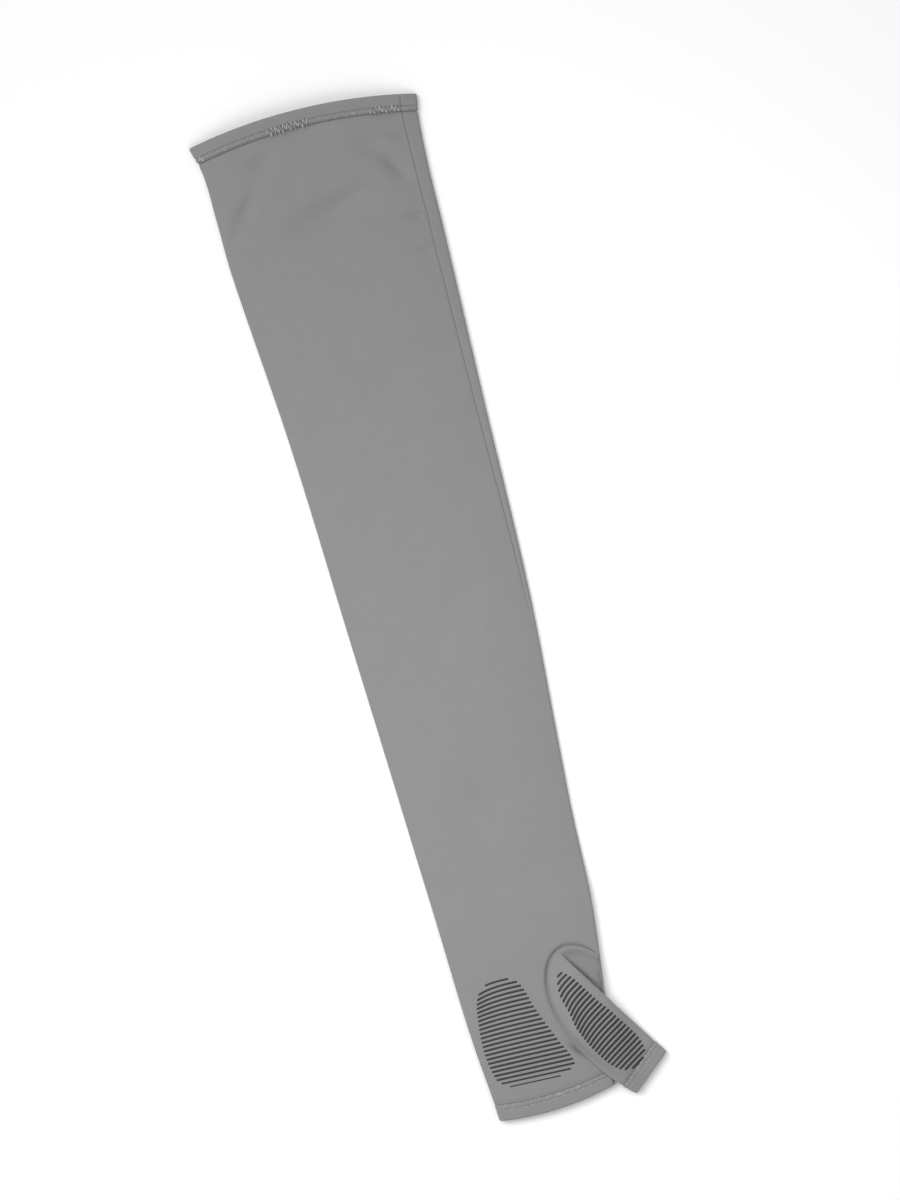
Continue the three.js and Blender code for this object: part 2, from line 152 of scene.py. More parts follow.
# Armhole: an oval in the palm side
ARMHOLE = {"x": 34.5, "y": -248.6, "long": 38.8, "short": 22.6, "turn": math.radians(-15.9)}
ARMHOLE_MARGIN = 1.5  # the oval is cut off this far inside the sleeve's right edge
ARMHOLE_EASE = 1.2  # how gently it turns there
ARMHOLE_GAP = 0.06  # between the palm's cut edge and the thumb's sewn edge
ROLL_DEPTH = 1.7  # how far the palm rolls down into the armhole's seam
ROLL_REACH = 0.8
SEAM_SINK = 0.3  # how far the thumb's sewn edge lies under the palm's rolled edge
SEAM_PULL = (-0.35, 1.2)  # height beside the armhole where the seam begins to pull, and over how much

# Thumb: a cone of knit sewn into the armhole, collapsed and laid over towards its tip. Places along it
# run from the rim, 0, to the tip, 1, and pairs say where a change begins and over how much it runs.
THUMB_TIP = {"x": 57.55, "y": -295.75, "width": 29.6, "turn": math.radians(40)}
THUMB_CREASES = (math.radians(97), math.radians(213))  # upper and lower, round the armhole
THUMB_BELLY = 2.0
THUMB_TUCK = 4.5  # how far its lower layer is drawn in under the upper crease
THUMB_TUCK_AT = 0.3
THUMB_RISE = 5.4
THUMB_RISE_AT = 0.27
THUMB_FLAT_TIP = 0.68  # height of its section at the tip, as a share of the rise
THUMB_FLAT_FROM = 0.5
THUMB_SQUARE = 0.6  # how squarely its section turns over at the creases
THUMB_LEVEL = (0.62, 0.38)  # from here on, its section becomes as high on both sides
FLANK_HEIGHTS = (0.05, 0.9)  # of the section at the lower crease and over the flank beside it
FLANK_WIDTH = 0.27  # as a share of the thumb's width
TOP_WIDTH = 0.9  # the top slopes over this share of it
THUMB_LIFT = 0.8  # middle of its lower layer over what it lies on
THUMB_DROOP = 20.0
THUMB_HEM_DEPTH = 9.2
POCKET_SAG = 3.6  # how far its lower layer sinks between the armhole and the upper crease
POCKET_DEPTH = 4.6  # at most, clear of the hand cover below
POCKET_START = (0.0, 0.1)
POCKET_END = (0.3, 0.25)
POCKET_TURN = (1.3, 0.3)  # in half turns round the thumb
CREASE_GAP = 3.0  # how much more the lower layer sinks right under the upper crease
CREASE_GAP_AT = 0.4  # inside the crease
CREASE_GAP_REACH = 1.3
CREASE_OPENS = (0.05, 0.12)
RIM_PROBE = 0.08  # here it shows whether the cloth runs into the armhole or out over its rim
RIM_PROBE_REACH = 2.0
RIM_CLIMB = {"out": 0.008, "slack": 0.14, "pulled": 0.03}  # places where the sewn edge has come up

# Printed grips
PALM_STRIPES = 24
PALM_STRIPE_TURN = math.radians(-2)
THUMB_STRIPES = 27
THUMB_STRIPE_TURN = math.radians(29.5)
THUMB_GRIP_AT = (25.5, -242.0)
STRIPE_CROWN = 0.7  # how squarely a stripe's section rises
STRIPE_FOOT = 0.6  # half-width of its foot, as a share of its own
STRIPE_SINK = 0.15  # how far the foot lies in the knit

# Outline of the palm grip: the ends of a stripe, by its place along Y, how far its left end comes down
# with the cloth, and its width as a share of the usual one.
GRIP_COLUMNS = "at low high droop width"
PALM_GRIP = table(
    GRIP_COLUMNS,
    (-283.4, -25.0, 5.6, 0, 0.55),
    (-280.6, -29.4, 12.6, 0, 0.85),
    (-277, -32.0, 15.5, 0.2, 1),
    (-261, -34.6, 8.8, 0.8, 1),
    (-242.5, -33.8, 1.4, 1.7, 1),
    (-224.5, -30.2, -4.6, 3.2, 1),
    (-221, -24.4, -10.0, 1.2, 0.9),
)

# Outline of the thumb grip: the ends of a stripe, from the grip's own zero along the stripe, by its
# place from there towards the thumb's tip, and how far its low end runs on with the cloth.
THUMB_GRIP = table(
    GRIP_COLUMNS,
    (-16.4, 0.5, 4.8, 0.2, 1.05),
    (-13.5, -2.6, 6.0, 0.8, 1.1),
    (-9.0, -5.9, 7.2, 2.0, 1.2),
    (1.0, -9.0, 7.7, 3.2, 1.2),
    (9.4, -12.1, 8.3, 3.4, 1.2),
    (18.6, -13.3, 9.4, 2.6, 1.2),
    (27.4, -13.5, 9.8, 1.6, 1.2),
    (38.5, -12.8, 10.5, 0.8, 1.2),
    (45.7, -11.1, 9.8, 0.4, 1.1),
    (50.3, -8.6, 7.8, 0.2, 1.1),
    (52.6, -5.4, 4.4, 0, 1.0),
)

# Hem stitches: two needle rows and the looper thread that runs to and fro between them
NEEDLE_ROWS = (2.9, 0.4)  # from a hem's sewn edge
GROOVE_WIDTH = 0.4  # half-width of the grooves that they pull into a hem
SLEEVE_PULL = 1.3  # how far the groove at a hem's sewn edge reaches into the sleeve
THUMB_PULL = 1.2  # and into the thumb
THUMB_GROOVE = 0.62  # depth of the thumb's grooves, as a share of the upper hem's
ZIGZAG = 0.98  # how sharply the looper thread turns
LOOSE_REACH = (1.2, 0.4)  # how far it reaches past the rows where it is loose, and how unevenly
LOOSE_EASE = 1.5
NEEDLE_WANDER = 0.05
LOOPER_WANDER = 0.08

# Heights of the stitches over the knit, in radii of the thread
NEEDLE_HEIGHT = (-0.8, 0.6)  # middle, and wave along the row
LOOPER_HEIGHT = (-1.65, 0.6)  # middle, and unevenness
LOOSE_HEIGHT = (1.6, 1.0, 0.7)  # middle, wave and unevenness of the looper thread where it is loose
LOOPER_RADII = (0.9, 1.25)  # where it is sunk in, and where it is loose

# Stretches of a hem's palm side where the looper thread lies loose, by x, and one where it has sunk in
UPPER_LOOSE = table(
    "start end slack",
    (-66.0, -60.5, 0.5),
    (-28.5, -23.6, -1.0),
    (-23.6, 3.0, 1.0),
    (38.5, 57.5, 0.8),
)
CUFF_LOOSE = table(
    "start end slack",
    (-35.0, -20.0, 0.08),
    (-6.0, 16.0, 0.13),
)
THUMB_SLACK = 0.05  # the same for the whole of the thumb's hem

# Steps of the meshes
PALM_STEPS = (6, 13, 92)  # from the right fold to the side seam, across it, and on to the left fold
BACK_STEPS = 30
FOLD_STEPS = 8
HAND_TOP = -195.0  # the mesh is finer from here to the cuff
HAND_STEP = 1.0
UPPER_FOLDS = 195.0  # and from here to the upper hem
UPPER_STEP = 1.1
ARM_STEP = 2.6
INNER_SPARING = 3  # the inside has one ring for this many outside
HEM_NOSE_STEPS = 11
HEM_INSIDE_STEPS = 6
ARMHOLE_STEPS = 180
WINDOW_STEPS = 24
COVER_STEP = 1.2
COVER_LEAST_ROWS = 8
COVER_COLUMNS = 61
COVER_THIN = 0.04  # square of the least share of a plate's thickness at its border
THUMB_STEPS = 72  # for each of its two layers
THUMB_CROWDING = 0.7  # how much closer together they lie at the creases
THUMB_RINGS = 62
THUMB_SEAM_RINGS = 22  # close together, next to its seam
THUMB_SEAM_PART = 0.07
THUMB_SEAM_CROWDING = 1.6
STRIPE_STEP = 1.2
STRIPE_LEAST = 6
STRIPE_ROUND = 6  # points over a stripe's section
STRIPE_ENDS = (0.02, 0.05)  # places of more points at its ends
STRIPE_SHORT = 12.0  # these lie closer together on a stripe longer than this
STRIPE_THIN = 0.02  # square of the least share of its section at the ends
THREAD_SIDES = 6
STITCH_SAMPLES = 8
RING_SAMPLES = 1600
THUMB_RING_SAMPLES = 720
SHARP_ANGLE = math.radians(50)
SMALL_STEP = 1e-3  # for slopes on the thumb
PALM_ROUNDS = 6  # of the search for a section through a point
THUMB_ROUNDS = 30  # of the search for a place on the thumb
THUMB_SEARCH = ((0.02, 1.0), (0.1, math.pi - 0.1))  # and the limits of its place along and its turn

# Where the cloth is measured for its flat size
GIRTH_SAMPLES = 400
RIM_SAMPLES = 200
THUMB_SAMPLES = (60, 120)  # along it and round it

# Photograph's frame, in pixels and on the floor
PHOTO_SIZE = (900, 1200)
PHOTO_MM_PER_PIXEL = 0.587
CAMERA_OVER = (12.6, 2.0)
CAMERA_TURN = math.radians(-14.53)
SENSOR = 36.0

# Stage, in metres and watts
CAMERA_HEIGHT = 3.2
FLOOR_REACH = 8.0
FLOOR_DROP = 0.2 * MM
WORLD_STRENGTH = 0.62
SOFTBOXES = (
    # Name, place, target, size and power
    ("key softbox", (-2.9, 2.6, 4.5), (0, 0, 0), 3.6, 185),
    ("middle softbox", (0, -0.1, 0.42), (0, -0.1, 0), 0.45, 0.9),
)


def linear(hex_colour):
    """A colour's sRGB hex value as linear red, green and blue."""
    parts = [int(hex_colour[i:i + 2], 16) / 255 for i in (0, 2, 4)]
    return tuple(c / 12.92 if c <= 0.04045 else ((c + 0.055) / 1.055) ** 2.4 for c in parts)


def lerp(a, b, share):
    return a + (b - a) * share


def smooth(share):
    share = np.clip(share, 0, 1)
    return share * share * (3 - 2 * share)


def ramp(value, start, over):
    """Rises smoothly from 0 at the start to 1 where it has run over its stretch."""
    return smooth((value - start) / over)


def bell(distance, reach):
    """A smooth bump: 1 in the middle, and almost nothing at twice the reach."""
    return np.exp(-((distance / reach) ** 2))


def rounded(from_edge, radius, least):
    """Share of the full height near a rounded edge. Its square is never under the least."""
    return np.sqrt(np.clip(1 - (1 - np.minimum(from_edge / radius, 1)) ** 2, least, 1))


def travel_along(points):
    """Distance from the first of a row of points to each of them."""
    return np.concatenate([[0], np.cumsum(np.linalg.norm(np.diff(points, axis=0), axis=1))])


def column_curve(rows, column):
    """A smooth curve through one column of a table, by its rows' places."""
    at, value = rows["at"], rows[column]
    row = np.arange(len(at))
    before, after = np.maximum(row - 1, 0), np.minimum(row + 1, len(at) - 1)
    slope = (value[after] - value[before]) / (at[after] - at[before])

    def curve(place):
        i = np.clip(np.searchsorted(at, place, side="right") - 1, 0, len(at) - 2)
        span = at[i + 1] - at[i]
        t = np.clip((place - at[i]) / span, 0, 1)
        bend = slope[i] * t * (1 - t) ** 2 - slope[i + 1] * t * t * (1 - t)
        return lerp(value[i], value[i + 1], smooth(t)) + span * bend

    return curve


left_edge = column_curve(SECTIONS, "left")
right_edge = column_curve(SECTIONS, "right")
puff_at = column_curve(SECTIONS, "puff")
bow_at = column_curve(SECTIONS, "bow")
skew_at = column_curve(SECTIONS, "skew")
side_seam_inset = column_curve(SIDE_SEAM, "inset")


def back_lift(at):
    """Underside of the sleeve's back layer: on the surface, or on the hand cover below the wrist."""
    return BACK_LIFT * smooth((LIFT_START - at) / (LIFT_START - COVER_END))


# A layer of the flat tube: its cloth's thickness, the radius of its folds and how high it lies
Layer = namedtuple("Layer", "wall fold lift")
TUBE = Layer(WALL, FOLD_RADIUS, back_lift)
UPPER_HEM = Layer(HEM_WALL, FOLD_RADIUS, np.zeros_like)
CUFF_HEM = Layer(HEM_WALL, (BACK_LIFT + 2 * FOLD_RADIUS + WALL - HEM_WALL) / 2, np.zeros_like)

# A hem of the sleeve: its node, its edge, the way from there into the sleeve, its depth and layer, where
# its looper thread lies loose, and how deep its stitches pull in, as a share of the upper hem's
Hem = namedtuple("Hem", "node end inward depth layer loose groove")
HEMS = (
    Hem("upper_hem", UPPER_END, -1, UPPER_HEM_DEPTH, UPPER_HEM, UPPER_LOOSE, 1.0),
    Hem("cuff_hem", CUFF_END, 1, CUFF_HEM_DEPTH, CUFF_HEM, CUFF_LOOSE, 0.72),
)


def ripple_waves():
    """Directions, phases and heights of the soft waves, the same each time."""
    chance = np.random.default_rng(RIPPLE_SEED)
    length = np.geomspace(*RIPPLE_LENGTHS, RIPPLE_COUNT)
    heading = chance.uniform(0, math.pi, RIPPLE_COUNT)
    phase = chance.uniform(0, math.tau, RIPPLE_COUNT)
    kx, ky = math.tau / length * np.cos(heading), math.tau / length * np.sin(heading)
    return list(zip(kx, ky, phase, length / length.max()))


WAVES = ripple_waves()


def ripple(x, y):
    total = sum(height * np.sin(kx * x + ky * y + phase) for kx, ky, phase, height in WAVES)
    return total / math.sqrt(RIPPLE_COUNT)


def dent_at(x, y, dents=DENTS):
    """How deep the dents of a table go at x, y."""
    total = 0.0
    for cx, cy, depth, along, across, turn in zip(*dents.values()):
        turn = math.radians(turn)
        dx, dy = x - cx, y - cy
        u = (dx * math.cos(turn) + dy * math.sin(turn)) / along
        v = (dy * math.cos(turn) - dx * math.sin(turn)) / across
        total = total + depth * np.exp(-u * u - v * v)
    return total


def soft_least(a, b, ease):
    """The lesser of two values, with a rounded corner between them."""
    return -ease * np.logaddexp(-a / ease, -b / ease)


def armhole_limit(y):
    """Right border of the armhole, inside the sleeve's edge."""
    return right_edge(y) - ARMHOLE_MARGIN


def armhole_point(angle, grow=0.0):
    """A point on the armhole's rim, grown by an amount."""
    short = (ARMHOLE["short"] + grow) * np.cos(angle)
    long = (ARMHOLE["long"] + grow) * np.sin(angle)
    cos, sin = math.cos(ARMHOLE["turn"]), math.sin(ARMHOLE["turn"])
    x = ARMHOLE["x"] + short * cos + long * sin
    y = ARMHOLE["y"] + long * cos - short * sin
    return soft_least(x, armhole_limit(y) + grow, ARMHOLE_EASE), y


def armhole_place(x, y):
    """About how far x, y lies outside the armhole, and how high beside it, from -1 at its low end to 1."""
    cos, sin = math.cos(ARMHOLE["turn"]), math.sin(ARMHOLE["turn"])
    dx, dy = x - ARMHOLE["x"], y - ARMHOLE["y"]
    u = (dx * cos - dy * sin) / ARMHOLE["short"]
    v = (dx * sin + dy * cos) / ARMHOLE["long"]
    reach = np.maximum(np.hypot(u, v), 1e-6)
    steep = np.hypot(u / ARMHOLE["short"], v / ARMHOLE["long"]) / reach
    outside = (reach - 1) / np.maximum(steep, 1e-6)
    return np.maximum(outside, x - armhole_limit(y)), v / reach


def seam_pull(beside):
    """How hard the armhole's seam pulls the cloth in: most at its top, and not at all at its low end."""
    return ramp(beside, *SEAM_PULL)


def line_at(at, x):
    """Y of a section's line at x."""
    left, right = left_edge(at), right_edge(at)
    share = np.clip((x - (left + right) / 2) / ((right - left) / 2), -1, 1)
    return at + bow_at(at) * (1 - share * share) - skew_at(at) * share


def flat_span(at, fold):
    """Middle and half-width of the tube between its folds."""
    left, right = left_edge(at), right_edge(at)
    return (left + right) / 2, (right - left) / 2 - WALL / 2 - fold


def clear_of_folds(share):
    """Lets relief run out towards the folds."""
    return 1 - share ** 4


def palm_middle(at, share, layer):
    """Height of the middle of the palm side's plain cloth, which lies nearly flat between its folds."""
    arch = 1 - np.abs(share) ** ARCH_POWER
    return layer.lift(at) + layer.wall / 2 + 2 * layer.fold + puff_at(at) * arch


def side_seam_groove(x, at):
    """How deep the side seam pulls into the palm side. It runs out where it meets the fold."""
    inset = side_seam_inset(at)
    groove = bell(right_edge(at) - inset - x, SIDE_SEAM_WIDTH)
    return SIDE_SEAM_DEPTH * groove * ramp(inset, WALL / 2 + FOLD_RADIUS, SIDE_SEAM_EASE)


def palm_relief(x, y, at, share, ripple_height):
    """How far the palm side stands over its plain form."""
    outside, beside = armhole_place(x, y)
    roll = ROLL_DEPTH * seam_pull(beside) * bell(np.maximum(outside, 0), ROLL_REACH)
    flare = UPPER_HEM_FLARE * smooth(1 - (UPPER_END - at) / UPPER_HEM_DEPTH)
    relief = ripple_height * ripple(x, y) - dent_at(x, y) - dent_at(x, y, THUMB_FOLD) - roll + flare
    return relief * clear_of_folds(share) - side_seam_groove(x, at)


def palm_share(part, at, half):
    """Place across the palm by the share of its columns, from 1 at the right fold to -1 at the left one."""
    counts = np.array(PALM_STEPS) / sum(PALM_STEPS)
    seam = np.maximum(side_seam_inset(at) - WALL / 2 - FOLD_RADIUS, SIDE_SEAM_REACH + SIDE_SEAM_CLEAR)
    before, after = counts[0], counts[0] + counts[1]
    to_seam = part / before * (seam - SIDE_SEAM_REACH)
    over_seam = seam + SIDE_SEAM_REACH * (2 * (part - before) / counts[1] - 1)
    beyond = lerp(seam + SIDE_SEAM_REACH, 2 * half, (part - after) / counts[2])
    return 1 - np.select([part < before, part < after], [to_seam, over_seam], beyond) / half


def sleeve_point(at, turn, offset, layer, ripple_height):
    """Points of the flat tube, moved out from the middle of its cloth by an offset. The turn goes over
    the palm from 0 to 1, round the left fold to 2, along the back to 3 and round the right fold to 4."""
    at, turn, offset = np.broadcast_arrays(at, turn, offset)
    middle, half = flat_span(at, layer.fold)
    floor = layer.lift(at) + layer.wall / 2
    side = np.floor(turn) % 4
    part = turn - np.floor(turn)
    palm, back, folded = side == 0, side == 2, side % 2 == 1
    share = np.select([palm, side == 1, back], [palm_share(part, at, half), -1.0, 2 * part - 1], 1.0)
    angle = math.pi * (part + (side == 3))
    reach = layer.fold + offset
    x = middle + half * share - folded * np.sin(angle) * reach
    y = line_at(at, x)
    palm_z = palm_middle(at, share, layer) + palm_relief(x, y, at, share, ripple_height) + offset
    fold_z = floor + layer.fold + np.cos(angle) * reach
    z = np.select([palm, back], [palm_z, floor - offset], fold_z)
    return np.stack([x, y, z], -1)


def loop_turns():
    """Turns of the points of one ring."""
    steps = (sum(PALM_STEPS), FOLD_STEPS, BACK_STEPS, FOLD_STEPS)
    return np.concatenate([i + np.arange(count) / count for i, count in enumerate(steps)])


def palm_top(x, y, ripple_height):
    """Top of the palm side's knit at x, y."""
    at = y - bow_at(y)
    for _ in range(PALM_ROUNDS):
        at = at - (line_at(at, x) - y)
    middle, half = flat_span(at, FOLD_RADIUS)
    share = np.clip((x - middle) / half, -1, 1)
    return palm_middle(at, share, TUBE) + WALL / 2 + palm_relief(x, y, at, share, ripple_height)


def rest_height(x, y):
    """Top of what the thumb lies on: the palm, then down past its edge to the surface."""
    at = np.clip(y - bow_at(y), CUFF_END, UPPER_END)
    middle, half = flat_span(at, FOLD_RADIUS)
    share = np.clip((x - middle) / half, -1, 1)
    palm = palm_middle(at, share, TUBE) + WALL / 2 - dent_at(x, y) * clear_of_folds(share)
    past = np.maximum(np.maximum(x - middle - half, line_at(np.full_like(x, CUFF_END), x) - y), 0)
    return palm * (1 - smooth(past / THUMB_DROOP))


def armhole_angle(turn):
    """Where a turn round the thumb starts on the armhole. The turn runs over the upper layer from the
    upper crease to the lower one, and back along the lower layer."""
    upper, lower = THUMB_CREASES
    share = turn / math.pi
    back = lerp(lower, upper + math.tau, smooth(share - 1))
    return np.where(share <= 1, lerp(upper, lower, share), back)


def thumb_tip_point(across):
    """A point on the line across the thumb's tip, from -1 at its lower crease to 1 at its upper one."""
    half = (THUMB_TIP["width"] - WALL) / 2
    x = THUMB_TIP["x"] + across * half * math.cos(THUMB_TIP["turn"])
    return x, THUMB_TIP["y"] + across * half * math.sin(THUMB_TIP["turn"])


def crease_distance(x, y):
    """How far x, y lies beyond the thumb's upper crease, seen from above, and the way out from there."""
    start_x, start_y = armhole_point(THUMB_CREASES[0])
    tip_x, tip_y = thumb_tip_point(1)
    run_x, run_y = tip_x - start_x, tip_y - start_y
    length = math.hypot(run_x, run_y)
    out = -run_y / length, run_x / length
    return (x - start_x) * out[0] + (y - start_y) * out[1], out


def thumb_plan(along, turn):
    """Where the thumb's cloth lies, seen from above."""
    seam_x, seam_y = armhole_point(armhole_angle(turn))
    tip_x, tip_y = thumb_tip_point(np.cos(turn))
    belly = THUMB_BELLY * 4 * along * (1 - along) * (1 - np.cos(turn)) / 2
    x = lerp(seam_x, tip_x, along) - belly * math.cos(THUMB_TIP["turn"])
    y = lerp(seam_y, tip_y, along) - belly * math.sin(THUMB_TIP["turn"])
    # The lower layer is drawn in under the upper crease, so that a pocket opens beside it.
    beyond, out = crease_distance(x, y)
    tucked = -THUMB_TUCK * np.sqrt(np.abs(np.sin(turn)))
    drawn = (turn > math.pi) * smooth(along / THUMB_TUCK_AT) * np.maximum(beyond - tucked, 0)
    return x - drawn * out[0], y - drawn * out[1]


def thumb_reach(turn):
    """Length of the thumb from the armhole to its tip at a turn round it, seen from above."""
    turn = turn % math.tau
    start_x, start_y = thumb_plan(0.0, turn)
    tip_x, tip_y = thumb_plan(1.0, turn)
    return np.hypot(tip_x - start_x, tip_y - start_y)


def thumb_section(along, turn):
    """Height of the thumb's cloth in its section, from 0 to 1. By the armhole its top slopes gently and
    its flank falls to the lower crease, and towards the tip it is as high on both sides."""
    layer = np.sign(np.sin(turn)) * np.abs(np.sin(turn)) ** THUMB_SQUARE
    from_crease = (np.cos(turn) + 1) / 2
    low, high = FLANK_HEIGHTS
    top = lerp(high, 1.0, smooth(from_crease / TOP_WIDTH))
    slope = lerp(low, top, smooth(from_crease / FLANK_WIDTH))
    return lerp(slope, 1.0, ramp(along, *THUMB_LEVEL)) * (layer + 1) / 2


def thumb_sunk(along, turn):
    """How far the thumb's cloth lies under its usual height beside its sewn edge."""
    pull = seam_pull(armhole_place(*armhole_point(armhole_angle(turn)))[1])
    inward = smooth(-armhole_place(*thumb_plan(RIM_PROBE, turn))[0] / RIM_PROBE_REACH)
    climb = lerp(RIM_CLIMB["out"], lerp(RIM_CLIMB["slack"], RIM_CLIMB["pulled"], pull), inward)
    return (THUMB_LIFT + lerp(WALL / 2, SEAM_SINK + ROLL_DEPTH, pull)) * (1 - smooth(along / climb))


def thumb_sag(along, turn, x, y):
    """How far the thumb's lower layer sinks in the pocket beside the upper crease."""
    pocket = ramp(along, *POCKET_START) * (1 - ramp(along, *POCKET_END))
    under_crease = bell(crease_distance(x, y)[0] + CREASE_GAP_AT, CREASE_GAP_REACH)
    gap = CREASE_GAP * ramp(along, *CREASE_OPENS) * under_crease
    return (POCKET_SAG + gap) * (pocket * ramp(turn / math.pi, *POCKET_TURN))


def thumb_point(along, turn):
    """Middle of the thumb's cloth, by the place along it and the turn round it."""
    along, turn = np.broadcast_arrays(along, turn)
    turn = turn % math.tau
    x, y = thumb_plan(along, turn)
    section = thumb_section(along, turn)
    height = THUMB_RISE * lerp(1, THUMB_FLAT_TIP, ramp(along, THUMB_FLAT_FROM, 1 - THUMB_FLAT_FROM))
    rise = height * smooth(along / THUMB_RISE_AT) * section
    sag = np.minimum(thumb_sag(along, turn, x, y) * (1 - section), POCKET_DEPTH)
    z = rest_height(x, y) + THUMB_LIFT + rise - thumb_sunk(along, turn) - sag
    return np.stack([x, y, z], -1)


def thumb_normal(along, turn):
    """Way out from the thumb's cloth at a point of it."""
    by_along = thumb_point(along + SMALL_STEP, turn) - thumb_point(along, turn)
    by_turn = thumb_point(along, turn + SMALL_STEP) - thumb_point(along, turn - SMALL_STEP)
    normal = np.cross(by_turn, by_along)
    return normal / np.maximum(np.linalg.norm(normal, axis=-1, keepdims=True), 1e-12)


def thumb_surface(along, turn, offset):
    """Points of the thumb, moved out from the middle of its cloth by an offset."""
    offset = np.broadcast_to(offset, np.broadcast(along, turn).shape)
    return thumb_point(along, turn) + thumb_normal(along, turn) * offset[..., None]


def thumb_turns():
    """Turns of the points of one ring of the thumb, closer together at its creases."""
    share = np.arange(THUMB_STEPS) / THUMB_STEPS
    crowded = share - THUMB_CROWDING * np.sin(math.tau * share) / math.tau
    return np.concatenate([math.pi * crowded, math.pi * (1 + crowded)])


def thumb_place(x, y):
    """Places on the thumb's upper layer, as along and turn, that lie at x, y seen from above. They are
    found by Newton's method, kept between the seam and the tip and between the creases."""
    along, turn = np.full(len(x), 0.5), np.full(len(x), math.pi / 2)
    for _ in range(THUMB_ROUNDS):
        here = thumb_point(along, turn)
        by_along = (thumb_point(along + SMALL_STEP, turn) - here) / SMALL_STEP
        by_turn = (thumb_point(along, turn + SMALL_STEP) - here) / SMALL_STEP
        area = by_along[:, 0] * by_turn[:, 1] - by_along[:, 1] * by_turn[:, 0]
        dx, dy = x - here[:, 0], y - here[:, 1]
        along_limits, turn_limits = THUMB_SEARCH
        along = np.clip(along + (dx * by_turn[:, 1] - dy * by_turn[:, 0]) / area, *along_limits)
        turn = np.clip(turn + (dy * by_along[:, 0] - dx * by_along[:, 1]) / area, *turn_limits)
    return along, turn


def ring_band(rings):
    """A closed wall from rings of points that go along its outside and come back along its inside."""
    count, around = rings.shape[:2]
    ring, spot = np.meshgrid(np.arange(count), np.arange(around), indexing="ij")
    after, beside = (ring + 1) % count, (spot + 1) % around
    corners = [(ring, spot), (ring, beside), (after, beside), (after, spot)]
    faces = np.stack([r * around + s for r, s in corners], -1)
    return rings.reshape(-1, 3), faces.reshape(-1, 4)


def capped_bar(rings):
    """A closed bar from rings with an even number of points each."""
    count, around = rings.shape[:2]
    points, faces = ring_band(rings)
    caps = []
    for start, order in ((0, 1), ((count - 1) * around, -1)):
        for i in range(around // 2 - 1):
            corners = [start + i, start + i + 1, start + around - 2 - i, start + around - 1 - i]
            caps.append(corners[::order])
    return points, np.concatenate([faces[:-around], caps])


def plate(top, bottom):
    """A closed plate from two grids of points with the same border."""
    rows, columns = top.shape[:2]
    number = np.arange(rows * columns).reshape(rows, columns)
    quads = [number[:-1, :-1], number[:-1, 1:], number[1:, 1:], number[1:, :-1]]
    upper = np.stack(quads, -1).reshape(-1, 4)
    lower = upper[:, ::-1] + rows * columns
    border = np.concatenate([number[0], number[1:, -1], number[-1, -2::-1], number[-2:0:-1, 0]])
    after = np.roll(border, -1)
    rim = np.stack([border, border + rows * columns, after + rows * columns, after], -1)
    points = np.concatenate([top.reshape(-1, 3), bottom.reshape(-1, 3)])
    return points, np.concatenate([upper, lower, rim])


def joined(parts):
    """Several meshes' points and faces as one."""
    points, faces, start = [], [], 0
    for part_points, part_faces in parts:
        points.append(part_points)
        faces.append(part_faces + start)
        start += len(part_points)
    return np.concatenate(points), np.concatenate(faces)


def mesh_object(name, shape, material):
    """A smooth-shaded object from points in millimetres and four-cornered faces."""
    points, faces = shape
    mesh = bpy.data.meshes.new(name)
    mesh.from_pydata((points * MM).tolist(), [], faces.tolist())
    tidy = bmesh.new()
    tidy.from_mesh(mesh)
    bmesh.ops.recalc_face_normals(tidy, faces=tidy.faces)
    tidy.to_mesh(mesh)
    tidy.free()
    return shaded_object(name, mesh, material)


def shaded_object(name, mesh, material):
    shade(mesh)
    mesh.materials.clear()
    mesh.materials.append(material)
    piece = bpy.data.objects.new(name, mesh)
    bpy.context.scene.collection.objects.link(piece)
    return piece


def shade(mesh):
    mesh.shade_smooth()
    mesh.set_sharp_from_angle(angle=SHARP_ANGLE)


def cut(piece, *outlines):
    """Cuts prisms out of a piece: each is a flat outline with its lowest and highest z."""
    for outline, low, high in outlines:
        count = len(outline)
        ends = [np.column_stack([outline, np.full(count, z)]) for z in (low, high)]
        cutter = bpy.data.meshes.new("cutter")
        side = [[i, (i + 1) % count, count + (i + 1) % count, count + i] for i in range(count)]
        caps = [list(range(count))[::-1], list(range(count, 2 * count))]
        cutter.from_pydata((np.concatenate(ends) * MM).tolist(), [], side + caps)
        knife = bpy.data.objects.new("cutter", cutter)
        bpy.context.scene.collection.objects.link(knife)
        boolean = piece.modifiers.new("cut", "BOOLEAN")
        boolean.object = knife
        boolean.operation = "DIFFERENCE"
        boolean.solver = "EXACT"
        evaluated = piece.evaluated_get(bpy.context.evaluated_depsgraph_get())
        mesh = bpy.data.meshes.new_from_object(evaluated)
        piece.modifiers.clear()
        old = piece.data
        if not 0 < len(mesh.polygons) < 2 * len(old.polygons):
            raise RuntimeError(f"{piece.name} could not be cut")
        piece.data = mesh
        bpy.data.meshes.remove(old)
        bpy.data.objects.remove(knife)
        bpy.data.meshes.remove(cutter)
    shade(piece.data)


def dress(piece, slot, *nodes):
    """Lets a piece ride on the frame and stand for its nodes. Its slot is not used."""
    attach(piece, BODY)
    if nodes:
        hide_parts(*nodes)


def set_inputs(tree, node, inputs):
    """Sets a node's inputs. Each is a value, an output, or a node that gives its first output."""
    for socket, value in inputs.items():
        if isinstance(value, bpy.types.Node):
            value = value.outputs[0]
        if isinstance(value, bpy.types.NodeSocket):
            tree.links.new(value, node.inputs[socket])
        else:
            node.inputs[socket].default_value = value


def add_node(tree, kind, inputs, **settings):
    """Adds a node with its settings and its inputs."""
    node = tree.nodes.new("ShaderNode" + kind)
    for name, value in settings.items():
        setattr(node, name, value)
    set_inputs(tree, node, inputs)
    return node


